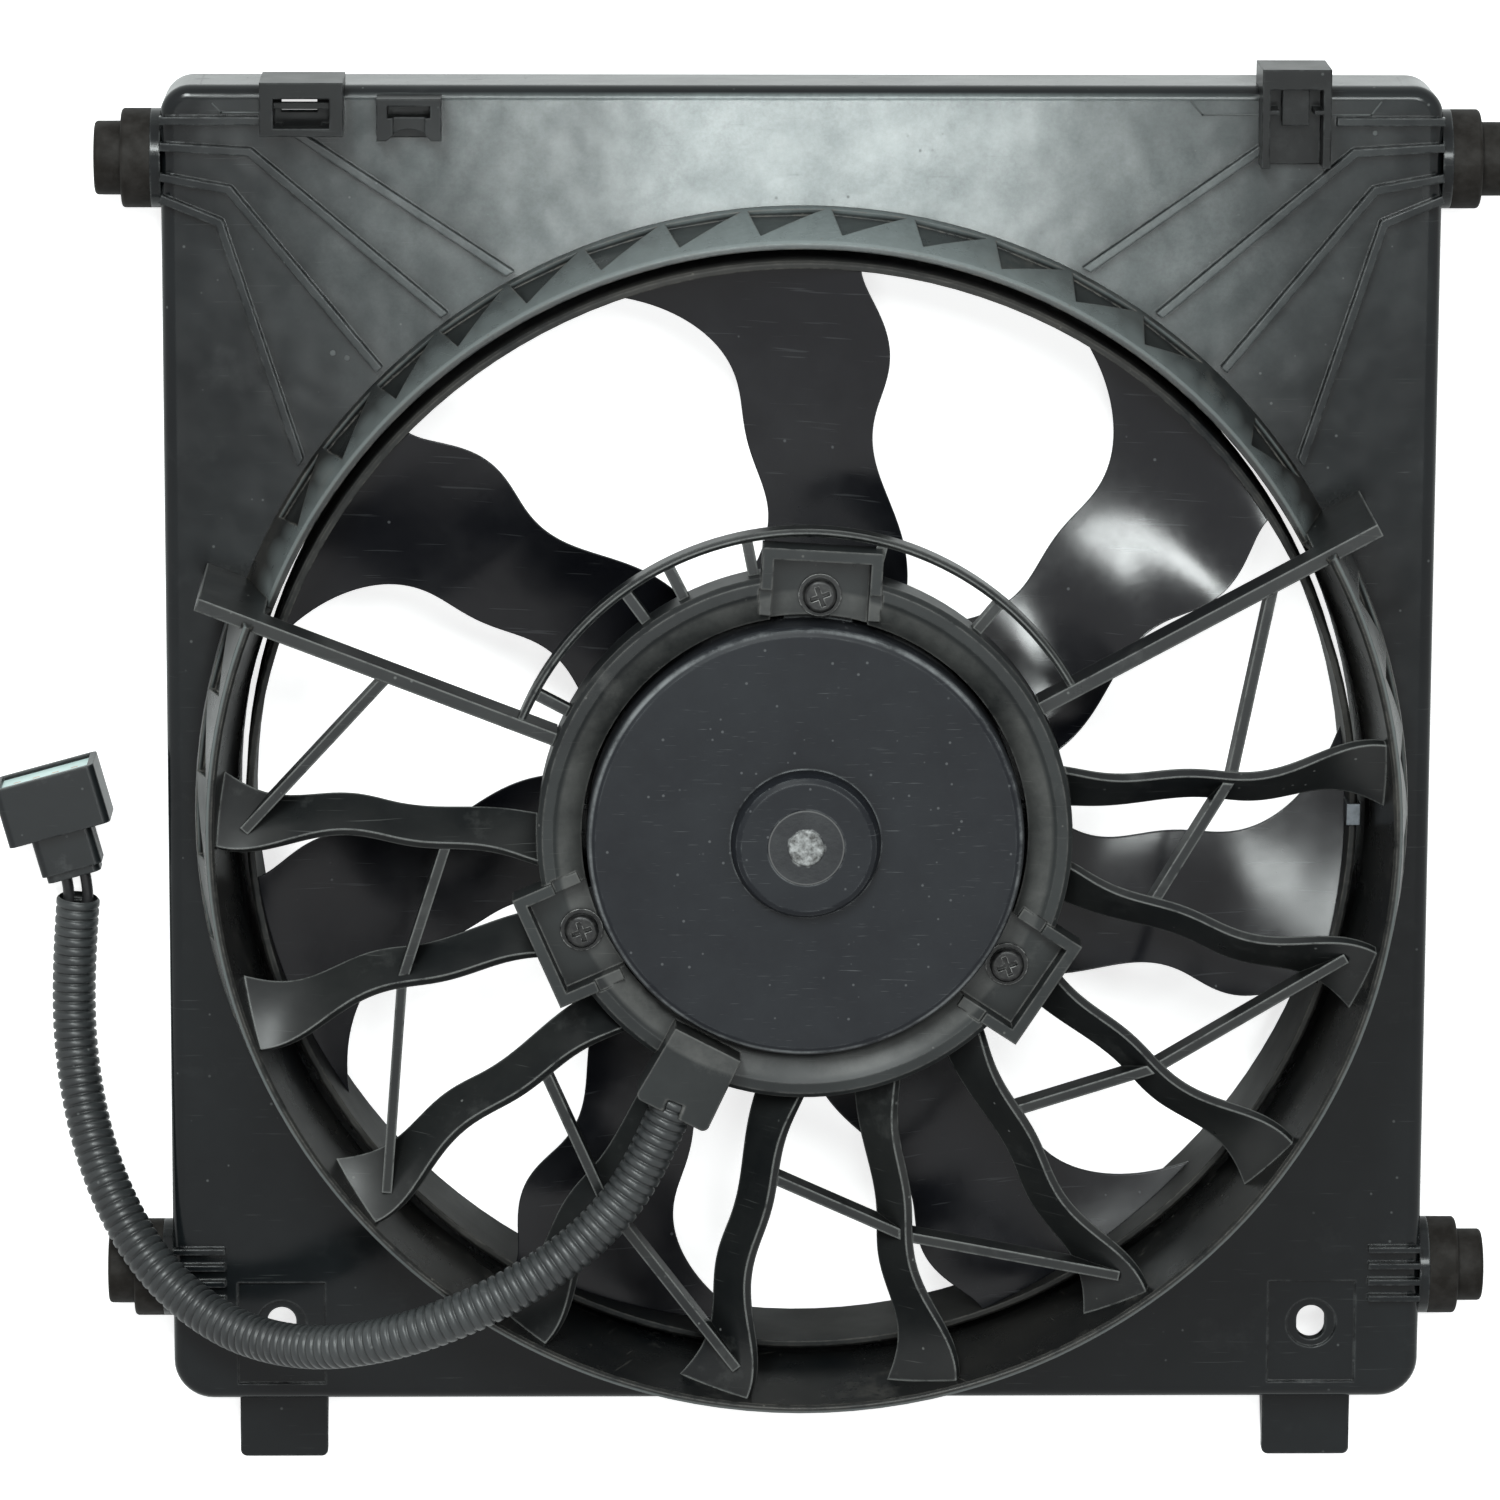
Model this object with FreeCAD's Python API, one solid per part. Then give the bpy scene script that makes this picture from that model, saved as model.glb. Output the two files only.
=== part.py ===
import FreeCAD, Part
import math
import os

# Condenser fan with its shroud, brushless motor and pigtail harness, in millimetres.
# The fan lies on its rear rim at z = 0 and blows upwards, towards the motor side.
# Everything is drawn about the fan axis and moved to the frame when it is saved.
# The frame's origin is the middle of the bottom of the whole fan without its harness.

os.makedirs("parts", exist_ok=True)
Vector = FreeCAD.Vector

# Stationary barrel around the fan: the size everything else is placed from
BARREL_R = 168.0
BARREL_WALL = 2.5
BARREL_REAR = 14.0
EDGE_BREAK = 0.8

# Upper band: a low sloping wall over the top of the opening
LIP_TOP = 52.0
BAND_BASE_R = BARREL_R + 10.0
BAND_FOOT_WIDTH = 3.5

# Collar: a tall sloping wall round the rest of it
COLLAR_TOP = 92.0
COLLAR_TOP_R = BARREL_R + 7.5
COLLAR_LIP = 2.5
COLLAR_BASE_R = BARREL_R + 12.0
COLLAR_SKIRT_TOP = 60.0
COLLAR_SKIRT_WALL = 4.5
COLLAR_CROTCH = LIP_TOP + 4.0

# Shroud panel, measured from the fan axis: a tray that is open at the rear
PANEL_HALF_WIDTH = COLLAR_BASE_R + 9.8
PANEL_TOP = COLLAR_BASE_R + 33.2
PANEL_BOTTOM = -(COLLAR_BASE_R + 9.2)
PANEL_DEPTH = 30.0
PANEL_WALL = 2.5
PANEL_TOP_CORNER = 9.0
PANEL_BOTTOM_CORNER = 12.0
PANEL_EDGE_ROUND = 4.0
WALL_TOP = PANEL_DEPTH - PANEL_EDGE_ROUND
PANEL_HOLE_R = COLLAR_BASE_R - COLLAR_SKIRT_WALL

# Saw-tooth recesses in the sloping outside of the band and the collar
TOOTH_PITCH = 8.03
TOOTH_FIRST = 54.1
TOOTH_SPAN = 6.3
TOOTH_LEAN = 1.0
TOOTH_LOW = 0.10
TOOTH_HIGH = 0.80
TOOTH_DEPTH = 1.9

# Support arms, counted the way the angles run, from the upper left one
ARM_FIRST = 158.9
ARM_LAST = 388.4
ARM_COUNT = 12
ARM_TOP = 87.0
ARM_DEPTH = 11.0
ARM_THICK = 2.8
STRAIGHT_ARM_THICK = 3.9
STRAIGHT_ARM_DEPTH = 14.0
FIN_REACH = COLLAR_BASE_R + 10.5
ARM_PITCH = (ARM_LAST - ARM_FIRST) / (ARM_COUNT - 1)
ARM_OUTER_R = BARREL_R + 8.0
# Share of the way out, turn of the front edge in degrees, lean of the rear edge in millimetres
ARM_STATIONS = [
    (0.00, 7.6, 12.5),
    (0.09, 5.2, 11.5),
    (0.19, 2.9, 9.4),
    (0.32, 2.1, 8.6),
    (0.46, 1.0, 8.4),
    (0.62, 0.0, 8.8),
    (0.76, 1.1, 11.0),
    (0.87, 1.9, 16.5),
    (1.00, 1.1, 23.0),
]

# Thin braces that tie each pair of arms to the next
BRACE_THICK = 3.0
BRACE_DEPTH = 9.0
BRACE_SINK = 1.0
BRACE_INNER_R = 104.0
BRACE_CROSS_R = 126.5
BRACE_OUTER_R = BARREL_R - 3.5
FIRST_BRACE_R = 130.6
LAST_BRACE_R = BARREL_R - 12.5

# Motor housing, seen from the front
HOUSING_R = 64.0
HOUSING_GAP = 1.5
HOUSING_WALL = 2.6
HOUSING_ROOF = 3.0
HOUSING_ROUND = 2.5
HOUSING_DEPTH = 20.0
BOSS_R = 22.0
BOSS_HEIGHT = 6.0
BOSS_ROUND = 3.0
BOSS_DRAFT = 0.6

# Motor mounting ring and its three screw pockets
RING_WIDTH = 13.0
RING_INNER_R = HOUSING_R + HOUSING_GAP
RING_R = RING_INNER_R + RING_WIDTH
RING_TOP = ARM_TOP + 6.0
RING_INNER_TOP = RING_TOP - 3.5
RING_BOTTOM = ARM_TOP - 10.0
RING_WALL = 3.0
RING_INNER_LIP = 4.0
RING_CREST = 3.0
SCREW_ANGLES = [86.7, 203.7, 326.7]
SCREW_CIRCLE_R = HOUSING_R + 7.5
POCKET_FLOOR = RING_TOP - 7.0
POCKET_FLOOR_THICK = 3.0
POCKET_HALF_WIDTH = 14.2
POCKET_FRAME = 3.4
POCKET_FRAME_TOP = RING_TOP + 1.5
POCKET_STEP_R = RING_R - 5.0
POCKET_OUTER_R = RING_R + 4.1

# Finger guard over the open upper part of the motor ring
GUARD_R = RING_R + 11.1
GUARD_WIDTH = 2.4
GUARD_DEPTH = 8.0
GUARD_STRUTS = [152.2, 126.3, 116.9, 101.2, 75.4, 50.4]
STRUT_WIDTH = 3.2
STRUT_DEPTH = 5.0
STRUT_SINK = 1.0

# Heights of the motor housing and its fixing ears
HOUSING_TOP = RING_TOP + 7.0
HOUSING_BOTTOM = HOUSING_TOP - HOUSING_DEPTH
BOSS_TOP = HOUSING_TOP + BOSS_HEIGHT
EAR_TOP = POCKET_FLOOR - POCKET_FLOOR_THICK
EAR_THICK = 5.0
EAR_HALF_WIDTH = 10.0
EAR_REACH = SCREW_CIRCLE_R + 3.0
CAP_R = 11.2
CAP_THICK = 3.0
GLUE_R = 5.2
GLUE_HEIGHT = 0.5

# Rotor bell, in the hub of the fan
HUB_BOTTOM = 42.0
HUB_POST_HEIGHT = 8.0
BELL_R = 56.0
BELL_WALL = 2.0
BELL_ROUND = 1.5
BELL_BOTTOM = HUB_BOTTOM + HUB_POST_HEIGHT
BELL_TOP = HOUSING_BOTTOM - 4.0
BELL_HUB_R = 12.0
BELL_HUB_LENGTH = 5.0
MAGNET_THICK = 4.2
MAGNET_BOTTOM = BELL_BOTTOM + 5.0
MAGNET_TOP = BELL_TOP - 1.5
MAGNET_COUNT = 14
MAGNET_GAP_DEG = 2.0
AIR_GAP = 1.0

# Bearing tube, shaft and the two ball bearings
TUBE_R = 14.0
TUBE_BORE_R = 6.6
TUBE_BOTTOM = BELL_BOTTOM + BELL_WALL + 5.0
SHAFT_R = 4.0
SHAFT_BOTTOM = HUB_BOTTOM + 1.0
SHAFT_CHAMFER = 0.6
BEARING_R = 11.0
BEARING_WIDTH = 7.0
FRONT_BEARING_TOP = BOSS_TOP - CAP_THICK - 5.0
REAR_BEARING_BOTTOM = TUBE_BOTTOM + 1.5
RACE_INNER_R = 6.2
RACE_OUTER_R = 8.8
BALL_CIRCLE_R = (SHAFT_R + BEARING_R) / 2
BALL_R = 1.95
GROOVE_R = 2.05
BALL_COUNT = 7
WASHER_SPRING_THICK = 0.8
CIRCLIP_THICK = 0.8
CIRCLIP_R = SHAFT_R + 1.8
CIRCLIP_SINK = 0.4
CIRCLIP_GAP = 3.0
SHAFT_TOP = FRONT_BEARING_TOP + 3.5

# Stator and electronics
STATOR_R = BELL_R - BELL_WALL - MAGNET_THICK - AIR_GAP
STATOR_CORE_R = 24.0
STATOR_BOTTOM = BELL_BOTTOM + 11.5
STATOR_TOP = BELL_TOP - 6.0
STATOR_TEETH = 12
TOOTH_WIDTH = 6.5
TOOTH_SHOE = 3.0
SHOE_GAP_DEG = 5.0
COIL_GROW = 2.6
COIL_END_GAP = 1.2
BOARD_R = HOUSING_R - HOUSING_WALL - 3.4
BOARD_HOLE_R = TUBE_R + 1.5
BOARD_THICK = 1.6
SPACER_R = 3.0
SPACER_HEIGHT = 3.0
SPACER_CIRCLE_R = BOARD_R - 8.0
SPACER_ANGLES = [90, 210, 330]
BOARD_TOP = HOUSING_TOP - HOUSING_ROOF - SPACER_HEIGHT
CAPACITOR_R = 5.0
CAPACITOR_HEIGHT = 11.0
CAPACITOR_CIRCLE_R = BOARD_R - CAPACITOR_R - 1.0
CAPACITOR_ANGLES = [20.0, 45.0, 150.0, 175.0]

# Fan: hub, blades and the band that joins their tips
RUNNING_GAP = 2.7
HUB_R = 72.0
HUB_WALL = 2.5
HUB_ROUND = 3.0
HUB_TOP = RING_BOTTOM - 5.0
HUB_FACE_THICK = 3.0
HUB_RIB_COUNT = 12
HUB_RIB_THICK = 2.0
FAN_BAND_R = BARREL_R - RUNNING_GAP
FAN_BAND_WALL = 2.3
FAN_BAND_TOP = LIP_TOP + 5.0
FAN_BAND_REAR = BARREL_REAR + 6.0
FAN_BAND_BEAD = 1.0
FAN_BAND_BEAD_WIDTH = 2.5
BLADE_COUNT = 7
BLADE_THICK = 2.6
BLADE_EDGE_SHARE = 0.45
BLADE_CAMBER = 3.0
BLADE_STEPS = 5
BLADE_FRONT = HUB_TOP - 2.5
BLADE_REAR = HUB_BOTTOM + 6.0
BLADE_FRONT_TIP = FAN_BAND_TOP - 1.2
BLADE_REAR_TIP = FAN_BAND_REAR + 18.0
BLADE_SINK = 1.0
# Share of the way out, angle of the trailing edge and of the leading edge, for the top blade
BLADE_STATIONS = [
    (0.00, 65.5, 103.0),
    (0.14, 69.0, 97.2),
    (0.28, 74.6, 97.0),
    (0.42, 79.2, 98.5),
    (0.57, 80.1, 98.6),
    (0.71, 79.5, 99.8),
    (0.84, 81.1, 103.4),
    (0.93, 83.2, 107.4),
    (1.00, 84.2, 111.5),
]

# Screws that hold the fan to the bell, and the balance clip on the band
FAN_SCREW_CIRCLE_R = 30.0
FAN_SCREW_START = 30.0
FAN_SCREW_COUNT = 3
FAN_SCREW_R = 2.5
FAN_SCREW_HEAD_R = 5.0
FAN_SCREW_HEAD = 2.8
FAN_SCREW_RECESS = 1.6
HUB_POST_WALL = 4.5
CLIP_WEIGHT_ANGLE = 359.8
CLIP_WEIGHT_WIDTH = 6.5
CLIP_WEIGHT_LENGTH = 9.0
CLIP_WEIGHT_THICK = 1.0
CLIP_WEIGHT_OUTER = 0.7

# Fits: between seated pieces, and round what passes freely through a hole
SEAT_GAP = 0.02
LOOSE_GAP = 0.3

# Motor screws with captive washers
SCREW_HEAD_R = 5.0
SCREW_HEAD = 3.2
SCREW_HEAD_ROUND = 1.2
SCREW_BODY_R = 2.5
SCREW_LENGTH = 10.0
WASHER_R = 6.3
WASHER_THICK = 1.0
RECESS_WIDTH = 1.3
RECESS_REACH = 3.0
RECESS_DEPTH = 1.8
RECESS_TURN = 20.0

# Corner ribs of the panel, in from its side and down from its top; the last of each side starts at its clip
RIB_HEIGHT = 3.0
RIB_WIDTH = 2.4
RIB_LINES = [
    [(0.0, 10.0), (32.0, 10.0)],
    [(0.0, 17.7), (26.5, 19.3), (86.0, 69.7)],
    [(0.0, 26.7), (20.3, 30.5), (66.0, 86.2)],
    [(0.0, 33.1), (17.5, 40.3), (41.5, 114.1)],
]
LEFT_CLIP_RIB = [(38.5, 12.6), (106.5, 57.5)]
RIGHT_CLIP_RIB = [(53.6, 17.6), (109.0, 56.6)]
RIB_TOP = PANEL_DEPTH + RIB_HEIGHT

# Side sockets with rubber isolators
ISOLATOR_Z = PANEL_DEPTH / 2
UPPER_ISOLATOR_Y = PANEL_TOP - 23.2
LOWER_ISOLATOR_Y = PANEL_BOTTOM + 38.2
SOCKET_R = ISOLATOR_Z - 0.2
SOCKET_THICK = 3.2
PIN_R = 6.0
PIN_LENGTH = 14.0
RUBBER_R = ISOLATOR_Z - 0.2
RUBBER_THICK = 8.8
RUBBER_ROUND = 1.2
STUB_R = 11.0
STUB_LENGTH = 8.0
BOSS_RIB_OFFSETS = [9.2, 4.1, -1.0, -6.1]
BOSS_RIB_LENGTH = 16.0
BOSS_RIB_WIDTH = 1.8

# Lower fixing pads and feet
PAD_X = PANEL_HALF_WIDTH - 32.9
PAD_HALF_WIDTH = 13.3
PAD_TOP = PANEL_BOTTOM + 37.1
PAD_BOTTOM = PANEL_BOTTOM + 5.3
PAD_SINK = 1.0
PAD_BACK = PANEL_DEPTH - 6.0
SLOT_Y = PANEL_BOTTOM + 23.6
SLOT_WIDTH = 8.8
SLOT_LENGTH = 10.8
COUNTERBORE_R = 7.6
COUNTERBORE_DEPTH = 0.8
FOOT_HALF_WIDTH = 13.4
FOOT_LENGTH = 21.8
FOOT_REACH = PANEL_BOTTOM - FOOT_LENGTH
FOOT_BOTTOM = 12.0
FOOT_THICK = 4.0
FOOT_RIB_HEIGHT = 9.0
FOOT_RIB = 2.4
FOOT_RIB_SETBACK = 5.0
FOOT_CORNER = 2.0

# Snap clips at the top edge
CLIP_WALL = 2.4
CLIP_DROP = 12.0
CLIP_FLOOR = PANEL_DEPTH + 2.0
LEFT_CLIP_X = (-PANEL_HALF_WIDTH + 30.0, -PANEL_HALF_WIDTH + 54.5)
LEFT_CLIP_Y = (PANEL_TOP - 13.1, PANEL_TOP + 2.8)
LEFT_CLIP_TOP = PANEL_DEPTH + 15.0
LEFT_WELL_INSET = 4.0
LEFT_MOUTH_INSET = 6.4
LEFT_MOUTH_HEIGHT = 6.0
LEFT_CATCH_DROP = 4.0
LEFT_CATCH_THICK = 2.0
LEFT_CATCH_BACK = 8.2
WINDOW_X = (LEFT_CLIP_X[0] + 6.0, LEFT_CLIP_X[0] + 16.6)
WINDOW_Y = (PANEL_TOP - 7.2, PANEL_TOP - PANEL_WALL)
RIGHT_CLIP_X = (PANEL_HALF_WIDTH - 55.0, PANEL_HALF_WIDTH - 34.6)
RIGHT_CLIP_Y = (PANEL_TOP - 22.6, PANEL_TOP + 6.6)
RIGHT_CLIP_TOP = PANEL_DEPTH + 12.0
RIGHT_BAR = 6.0
TONGUE_WIDTH = 8.0
TONGUE_THICK = 2.0
TONGUE_LENGTH = 11.0
TONGUE_DROP = 4.0
STOP_LENGTH = 2.6
STOP_THICK = 1.4
STOP_BACK = 13.4
SMALL_CLIP_X = (-PANEL_HALF_WIDTH + 64.2, -PANEL_HALF_WIDTH + 83.2)
SMALL_CLIP_Y = (PANEL_TOP - 14.9, PANEL_TOP - 2.4)
SMALL_CLIP_TOP = PANEL_DEPTH + 11.0
SADDLE_R = 8.2
SADDLE_SHIFT = 5.0
SADDLE_FLOOR = 1.5
SMALL_WELL_INSET = 3.2
SMALL_WELL_START = 6.8
SMALL_WELL_WALL = 2.2
SMALL_NOTCH_INSET = 4.8
SMALL_NOTCH_DEPTH = 3.0

# Lead-out block over the mounting ring, and the harness
BLOCK_TURN = 244.4
BLOCK_ANGLE = 242.6
BLOCK_LENGTH = 24.0
BLOCK_INNER_WIDTH = 21.6
BLOCK_OUTER_WIDTH = 23.6
BLOCK_BOTTOM = ARM_TOP + 0.6
BLOCK_TOP = RING_TOP + 8.4
BLOCK_ROUND = 2.0
CONDUIT_R = 6.6
CONDUIT_BORE_R = 5.0
CONDUIT_INSERT = 4.0
# Route of the conduit from the block to its cut end
CONDUIT_ROUTE = [
    (-39.4, -81.4, 95.2),
    (-46.5, -99.0, 95.5),
    (-61.0, -118.0, 97.6),
    (-83.5, -134.0, 100.8),
    (-110.5, -147.0, 99.4),
    (-136.5, -156.5, 87.0),
    (-158.0, -161.0, 67.0),
    (-178.0, -157.5, 50.5),
    (-197.5, -142.5, 38.5),
    (-211.5, -118.5, 26.0),
    (-219.0, -90.5, 13.6),
    (-220.5, -62.0, 7.4),
    (-218.2, -36.4, 9.4),
]
WIRE_R = 1.7
WIRE_OFFSET = 2.9
WIRE_INSERT = 6.0
WIRE_STRAIGHT = 1.0

# Plug, lying on the floor along its own axis, turned from +Y by the plug angle
PLUG_ANGLE = 15.5
PLUG_TAIL = (-219.6, -26.6)
PLUG_WIDTH = 31.6
PLUG_DEPTH = 21.0
PLUG_LENGTH = 18.4
PLUG_ROUND = 2.2
PLUG_WALL = 2.0
PLUG_MOUTH_DEPTH = 12.0
PLUG_Z = PLUG_DEPTH / 2 + 0.1
NECK_WIDTH = 18.8
NECK_DEPTH = 13.0
NECK_LENGTH = 12.2
TAIL_LIP_WIDTH = 16.6
TAIL_LIP_DEPTH = 10.6
TAIL_LIP = 2.4
LINER_SINK = 1.2
TERMINAL_WIDTH = 2.2
TERMINAL_THICK = 0.8
TERMINAL_PITCH = 6.0
TERMINAL_SHARES = [-1.5, -0.5, 0.5, 1.5]

# The highest and lowest points along Y set where the axis lies in the frame
AXIS_Y = -(RIGHT_CLIP_Y[1] + FOOT_REACH) / 2

EPS = 0.5
SMALL = 1e-6
UP = Vector(0, 0, 1)
ORIGIN = Vector(0, 0, 0)


def polar(radius, degrees, z=0.0):
    angle = math.radians(degrees)
    return Vector(radius * math.cos(angle), radius * math.sin(angle), z)


def save(name, shape):
    shape = shape.copy()
    shape.translate(Vector(0, AXIS_Y, 0))
    shape.exportStep(os.path.join("parts", name + ".step"))


def polygon_face(points):
    return Part.Face(Part.makePolygon(points + [points[0]]))


def revolved(profile, start=0.0, sweep=360.0):
    """Solid of revolution about the fan axis from (radius, z) pairs."""
    points = [polar(radius, start, z) for radius, z in profile]
    return polygon_face(points).revolve(ORIGIN, UP, sweep)


def tube(outer, inner, low, high):
    return revolved([(inner, low), (outer, low), (outer, high), (inner, high)])


def cylinder(radius, height, base, direction=UP):
    return Part.makeCylinder(radius, height, base, direction)


def box(x_range, y_range, z_range):
    low = [min(x_range), min(y_range), min(z_range)]
    size = [max(x_range) - low[0], max(y_range) - low[1], max(z_range) - low[2]]
    return Part.makeBox(size[0], size[1], size[2], Vector(low[0], low[1], low[2]))


def bar(start, end, width, low, high):
    """Straight upright bar between two (x, y) points."""
    along = Vector(end[0] - start[0], end[1] - start[1], 0)
    shape = Part.makeBox(along.Length, width, high - low, Vector(0, -width / 2, low))
    shape.rotate(ORIGIN, UP, math.degrees(math.atan2(along.y, along.x)))
    shape.translate(Vector(start[0], start[1], 0))
    return shape


def radial_bar(degrees, inner, outer, width, low, high):
    return turned(bar((inner, 0), (outer, 0), width, low, high), degrees)


def turned(shape, degrees):
    copy = shape.copy()
    copy.rotate(ORIGIN, UP, degrees)
    return copy


def mirrored(shape):
    return shape.mirror(ORIGIN, Vector(1, 0, 0))


def group(shapes):
    """Separate solids that share one node."""
    solids = []
    for shape in shapes:
        solids.extend(shape.Solids)
    return Part.makeCompound(solids)


def one_solid(shape):
    """The largest solid of a cut, without the slivers beside it."""
    return max(shape.Solids, key=lambda solid: solid.Volume)


def upright_edges(shape, y):
    return [
        edge for edge in shape.Edges
        if all(abs(vertex.Point.y - y) < SMALL for vertex in edge.Vertexes)
        and abs(edge.tangentAt(edge.FirstParameter).z) > 1 - SMALL
    ]


def edges_at_height(shape, z):
    return [
        edge for edge in shape.Edges
        if all(abs(vertex.Point.z - z) < SMALL for vertex in edge.Vertexes)
    ]


def rounded_prism(x_range, y_range, z_range, low_corner, high_corner):
    """Upright block whose corners at low and high y have their own radii."""
    block = box(x_range, y_range, z_range)
    block = block.makeFillet(low_corner, upright_edges(block, min(y_range)))
    return block.makeFillet(high_corner, upright_edges(block, max(y_range)))


# Shroud panel

def isolator_socket(side, y):
    """Plastic flange and pin that a rubber isolator sits on."""
    base = Vector(side * PANEL_HALF_WIDTH, y, ISOLATOR_Z)
    direction = Vector(side, 0, 0)
    flange = cylinder(SOCKET_R, SOCKET_THICK, base, direction)
    pin = cylinder(PIN_R, SOCKET_THICK + PIN_LENGTH, base, direction)
    return one_solid(flange.fuse(pin))


def panel_ribs():
    """Low ribs that run from the corners to the band, and short ones at the isolators."""
    ribs = []
    low = PANEL_DEPTH - EPS
    lines = [(side, line) for side in (-1, 1) for line in RIB_LINES]
    for side, line in lines + [(-1, LEFT_CLIP_RIB), (1, RIGHT_CLIP_RIB)]:
        points = [(side * (PANEL_HALF_WIDTH - inwards), PANEL_TOP - down) for inwards, down in line]
        for start, end in zip(points, points[1:]):
            ribs.append(bar(start, end, RIB_WIDTH, low, RIB_TOP))
        for x, y in points[1:-1]:
            ribs.append(cylinder(RIB_WIDTH / 2, RIB_TOP - low, Vector(x, y, low)))
    for offset in BOSS_RIB_OFFSETS:
        y = LOWER_ISOLATOR_Y + offset
        inner_end = (PANEL_HALF_WIDTH - BOSS_RIB_LENGTH, y)
        rib = bar(inner_end, (PANEL_HALF_WIDTH, y), BOSS_RIB_WIDTH, low, RIB_TOP - EPS)
        ribs.extend([rib, mirrored(rib)])
    return ribs


def pad_slot(x):
    """Upright oval hole through a lower fixing pad."""
    half = (SLOT_LENGTH - SLOT_WIDTH) / 2
    low = PAD_BACK - EPS
    height = PANEL_DEPTH - low + EPS
    ends = [
        cylinder(SLOT_WIDTH / 2, height, Vector(x, SLOT_Y + shift, low)) for shift in (-half, half)
    ]
    middle = box(
        (x - SLOT_WIDTH / 2, x + SLOT_WIDTH / 2), (SLOT_Y - half, SLOT_Y + half), (low, low + height),
    )
    return middle.fuse(ends)


def pad_x_range(side):
    return (side * PAD_X - PAD_HALF_WIDTH, side * PAD_X + PAD_HALF_WIDTH)


def lower_pad_cuts(side):
    """Shallow recess, slot and counterbore of a lower fixing pad."""
    slot_x = side * PAD_X
    recess_floor = PANEL_DEPTH - PAD_SINK
    bore_floor = Vector(slot_x, SLOT_Y, recess_floor - COUNTERBORE_DEPTH)
    return [
        box(pad_x_range(side), (PAD_BOTTOM, PAD_TOP), (recess_floor, PANEL_DEPTH + EPS)),
        cylinder(COUNTERBORE_R, COUNTERBORE_DEPTH + EPS, bore_floor),
        pad_slot(slot_x),
    ]


def panel_shell():
    outer = rounded_prism(
        (-PANEL_HALF_WIDTH, PANEL_HALF_WIDTH), (PANEL_BOTTOM, PANEL_TOP), (0, PANEL_DEPTH),
        PANEL_BOTTOM_CORNER, PANEL_TOP_CORNER,
    )
    outer = outer.makeFillet(PANEL_EDGE_ROUND, edges_at_height(outer, PANEL_DEPTH))
    inner_width = PANEL_HALF_WIDTH - PANEL_WALL
    inner = rounded_prism(
        (-inner_width, inner_width), (PANEL_BOTTOM + PANEL_WALL, PANEL_TOP - PANEL_WALL),
        (-EPS, PANEL_DEPTH - PANEL_WALL),
        PANEL_BOTTOM_CORNER - PANEL_WALL, PANEL_TOP_CORNER - PANEL_WALL,
    )
    return outer.cut(inner)


def panel_walls():
    """Four straight walls and four corners, from the rear rim up to where the panel's edge starts to round."""
    reach = 2 * PANEL_TOP
    outside = PANEL_HALF_WIDTH - PANEL_BOTTOM_CORNER
    low = PANEL_BOTTOM + PANEL_BOTTOM_CORNER
    high = PANEL_TOP - PANEL_TOP_CORNER
    shell = panel_shell()
    pieces = []
    for x_range in ((-reach, -outside), (-outside, outside), (outside, reach)):
        for y_range in ((-reach, low), (low, high), (high, reach)):
            pieces.append(shell.common(box(x_range, y_range, (0, WALL_TOP))))
    return group(pieces)


def shroud_panel(walls):
    """The front sheet with its round opening, ribs and fixing pads."""
    added = panel_ribs()
    cuts = [
        walls,
        cylinder(PANEL_HOLE_R, PANEL_DEPTH, Vector(0, 0, PANEL_DEPTH - PANEL_WALL - EPS)),
        tube(COLLAR_BASE_R, PANEL_HOLE_R - EPS, PANEL_DEPTH, RIB_TOP + EPS),
        box(WINDOW_X, WINDOW_Y, (PANEL_DEPTH - PANEL_WALL - EPS, RIB_TOP + EPS)),
    ]
    for side in (-1, 1):
        backing = (PAD_BACK, PANEL_DEPTH - PANEL_WALL + EPS)
        added.append(box(pad_x_range(side), (PAD_BOTTOM, PAD_TOP), backing))
        cuts.extend(lower_pad_cuts(side))
    return one_solid(panel_shell().fuse(added).cut(cuts))


# Band and collar around the fan

def tooth_angles():
    """Tips of the saw-tooth recesses, all the way round."""
    count = int(360 / TOOTH_PITCH)
    return [TOOTH_FIRST + index * TOOTH_PITCH for index in range(count)]


def slope_point(base, top, share, degrees, lift):
    """Point on a sloping wall, given by its share of the way up, lifted off the wall."""
    run = Vector(top[0] - base[0], top[1] - base[1], 0)
    normal = Vector(run.y, -run.x, 0).normalize()
    radius = base[0] + run.x * share + normal.x * lift
    z = base[1] + run.y * share + normal.y * lift
    return polar(radius, degrees, z)


def tooth_recess(base, top, tip):
    corners = [(tip, TOOTH_HIGH), (tip - TOOTH_SPAN, TOOTH_LOW), (tip + TOOTH_LEAN, TOOTH_LOW)]
    wires = []
    for lift in (-TOOTH_DEPTH, TOOTH_DEPTH):
        points = [slope_point(base, top, share, degrees, lift) for degrees, share in corners]
        wires.append(Part.makePolygon(points + [points[0]]))
    return Part.makeLoft(wires, True, True)


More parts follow.
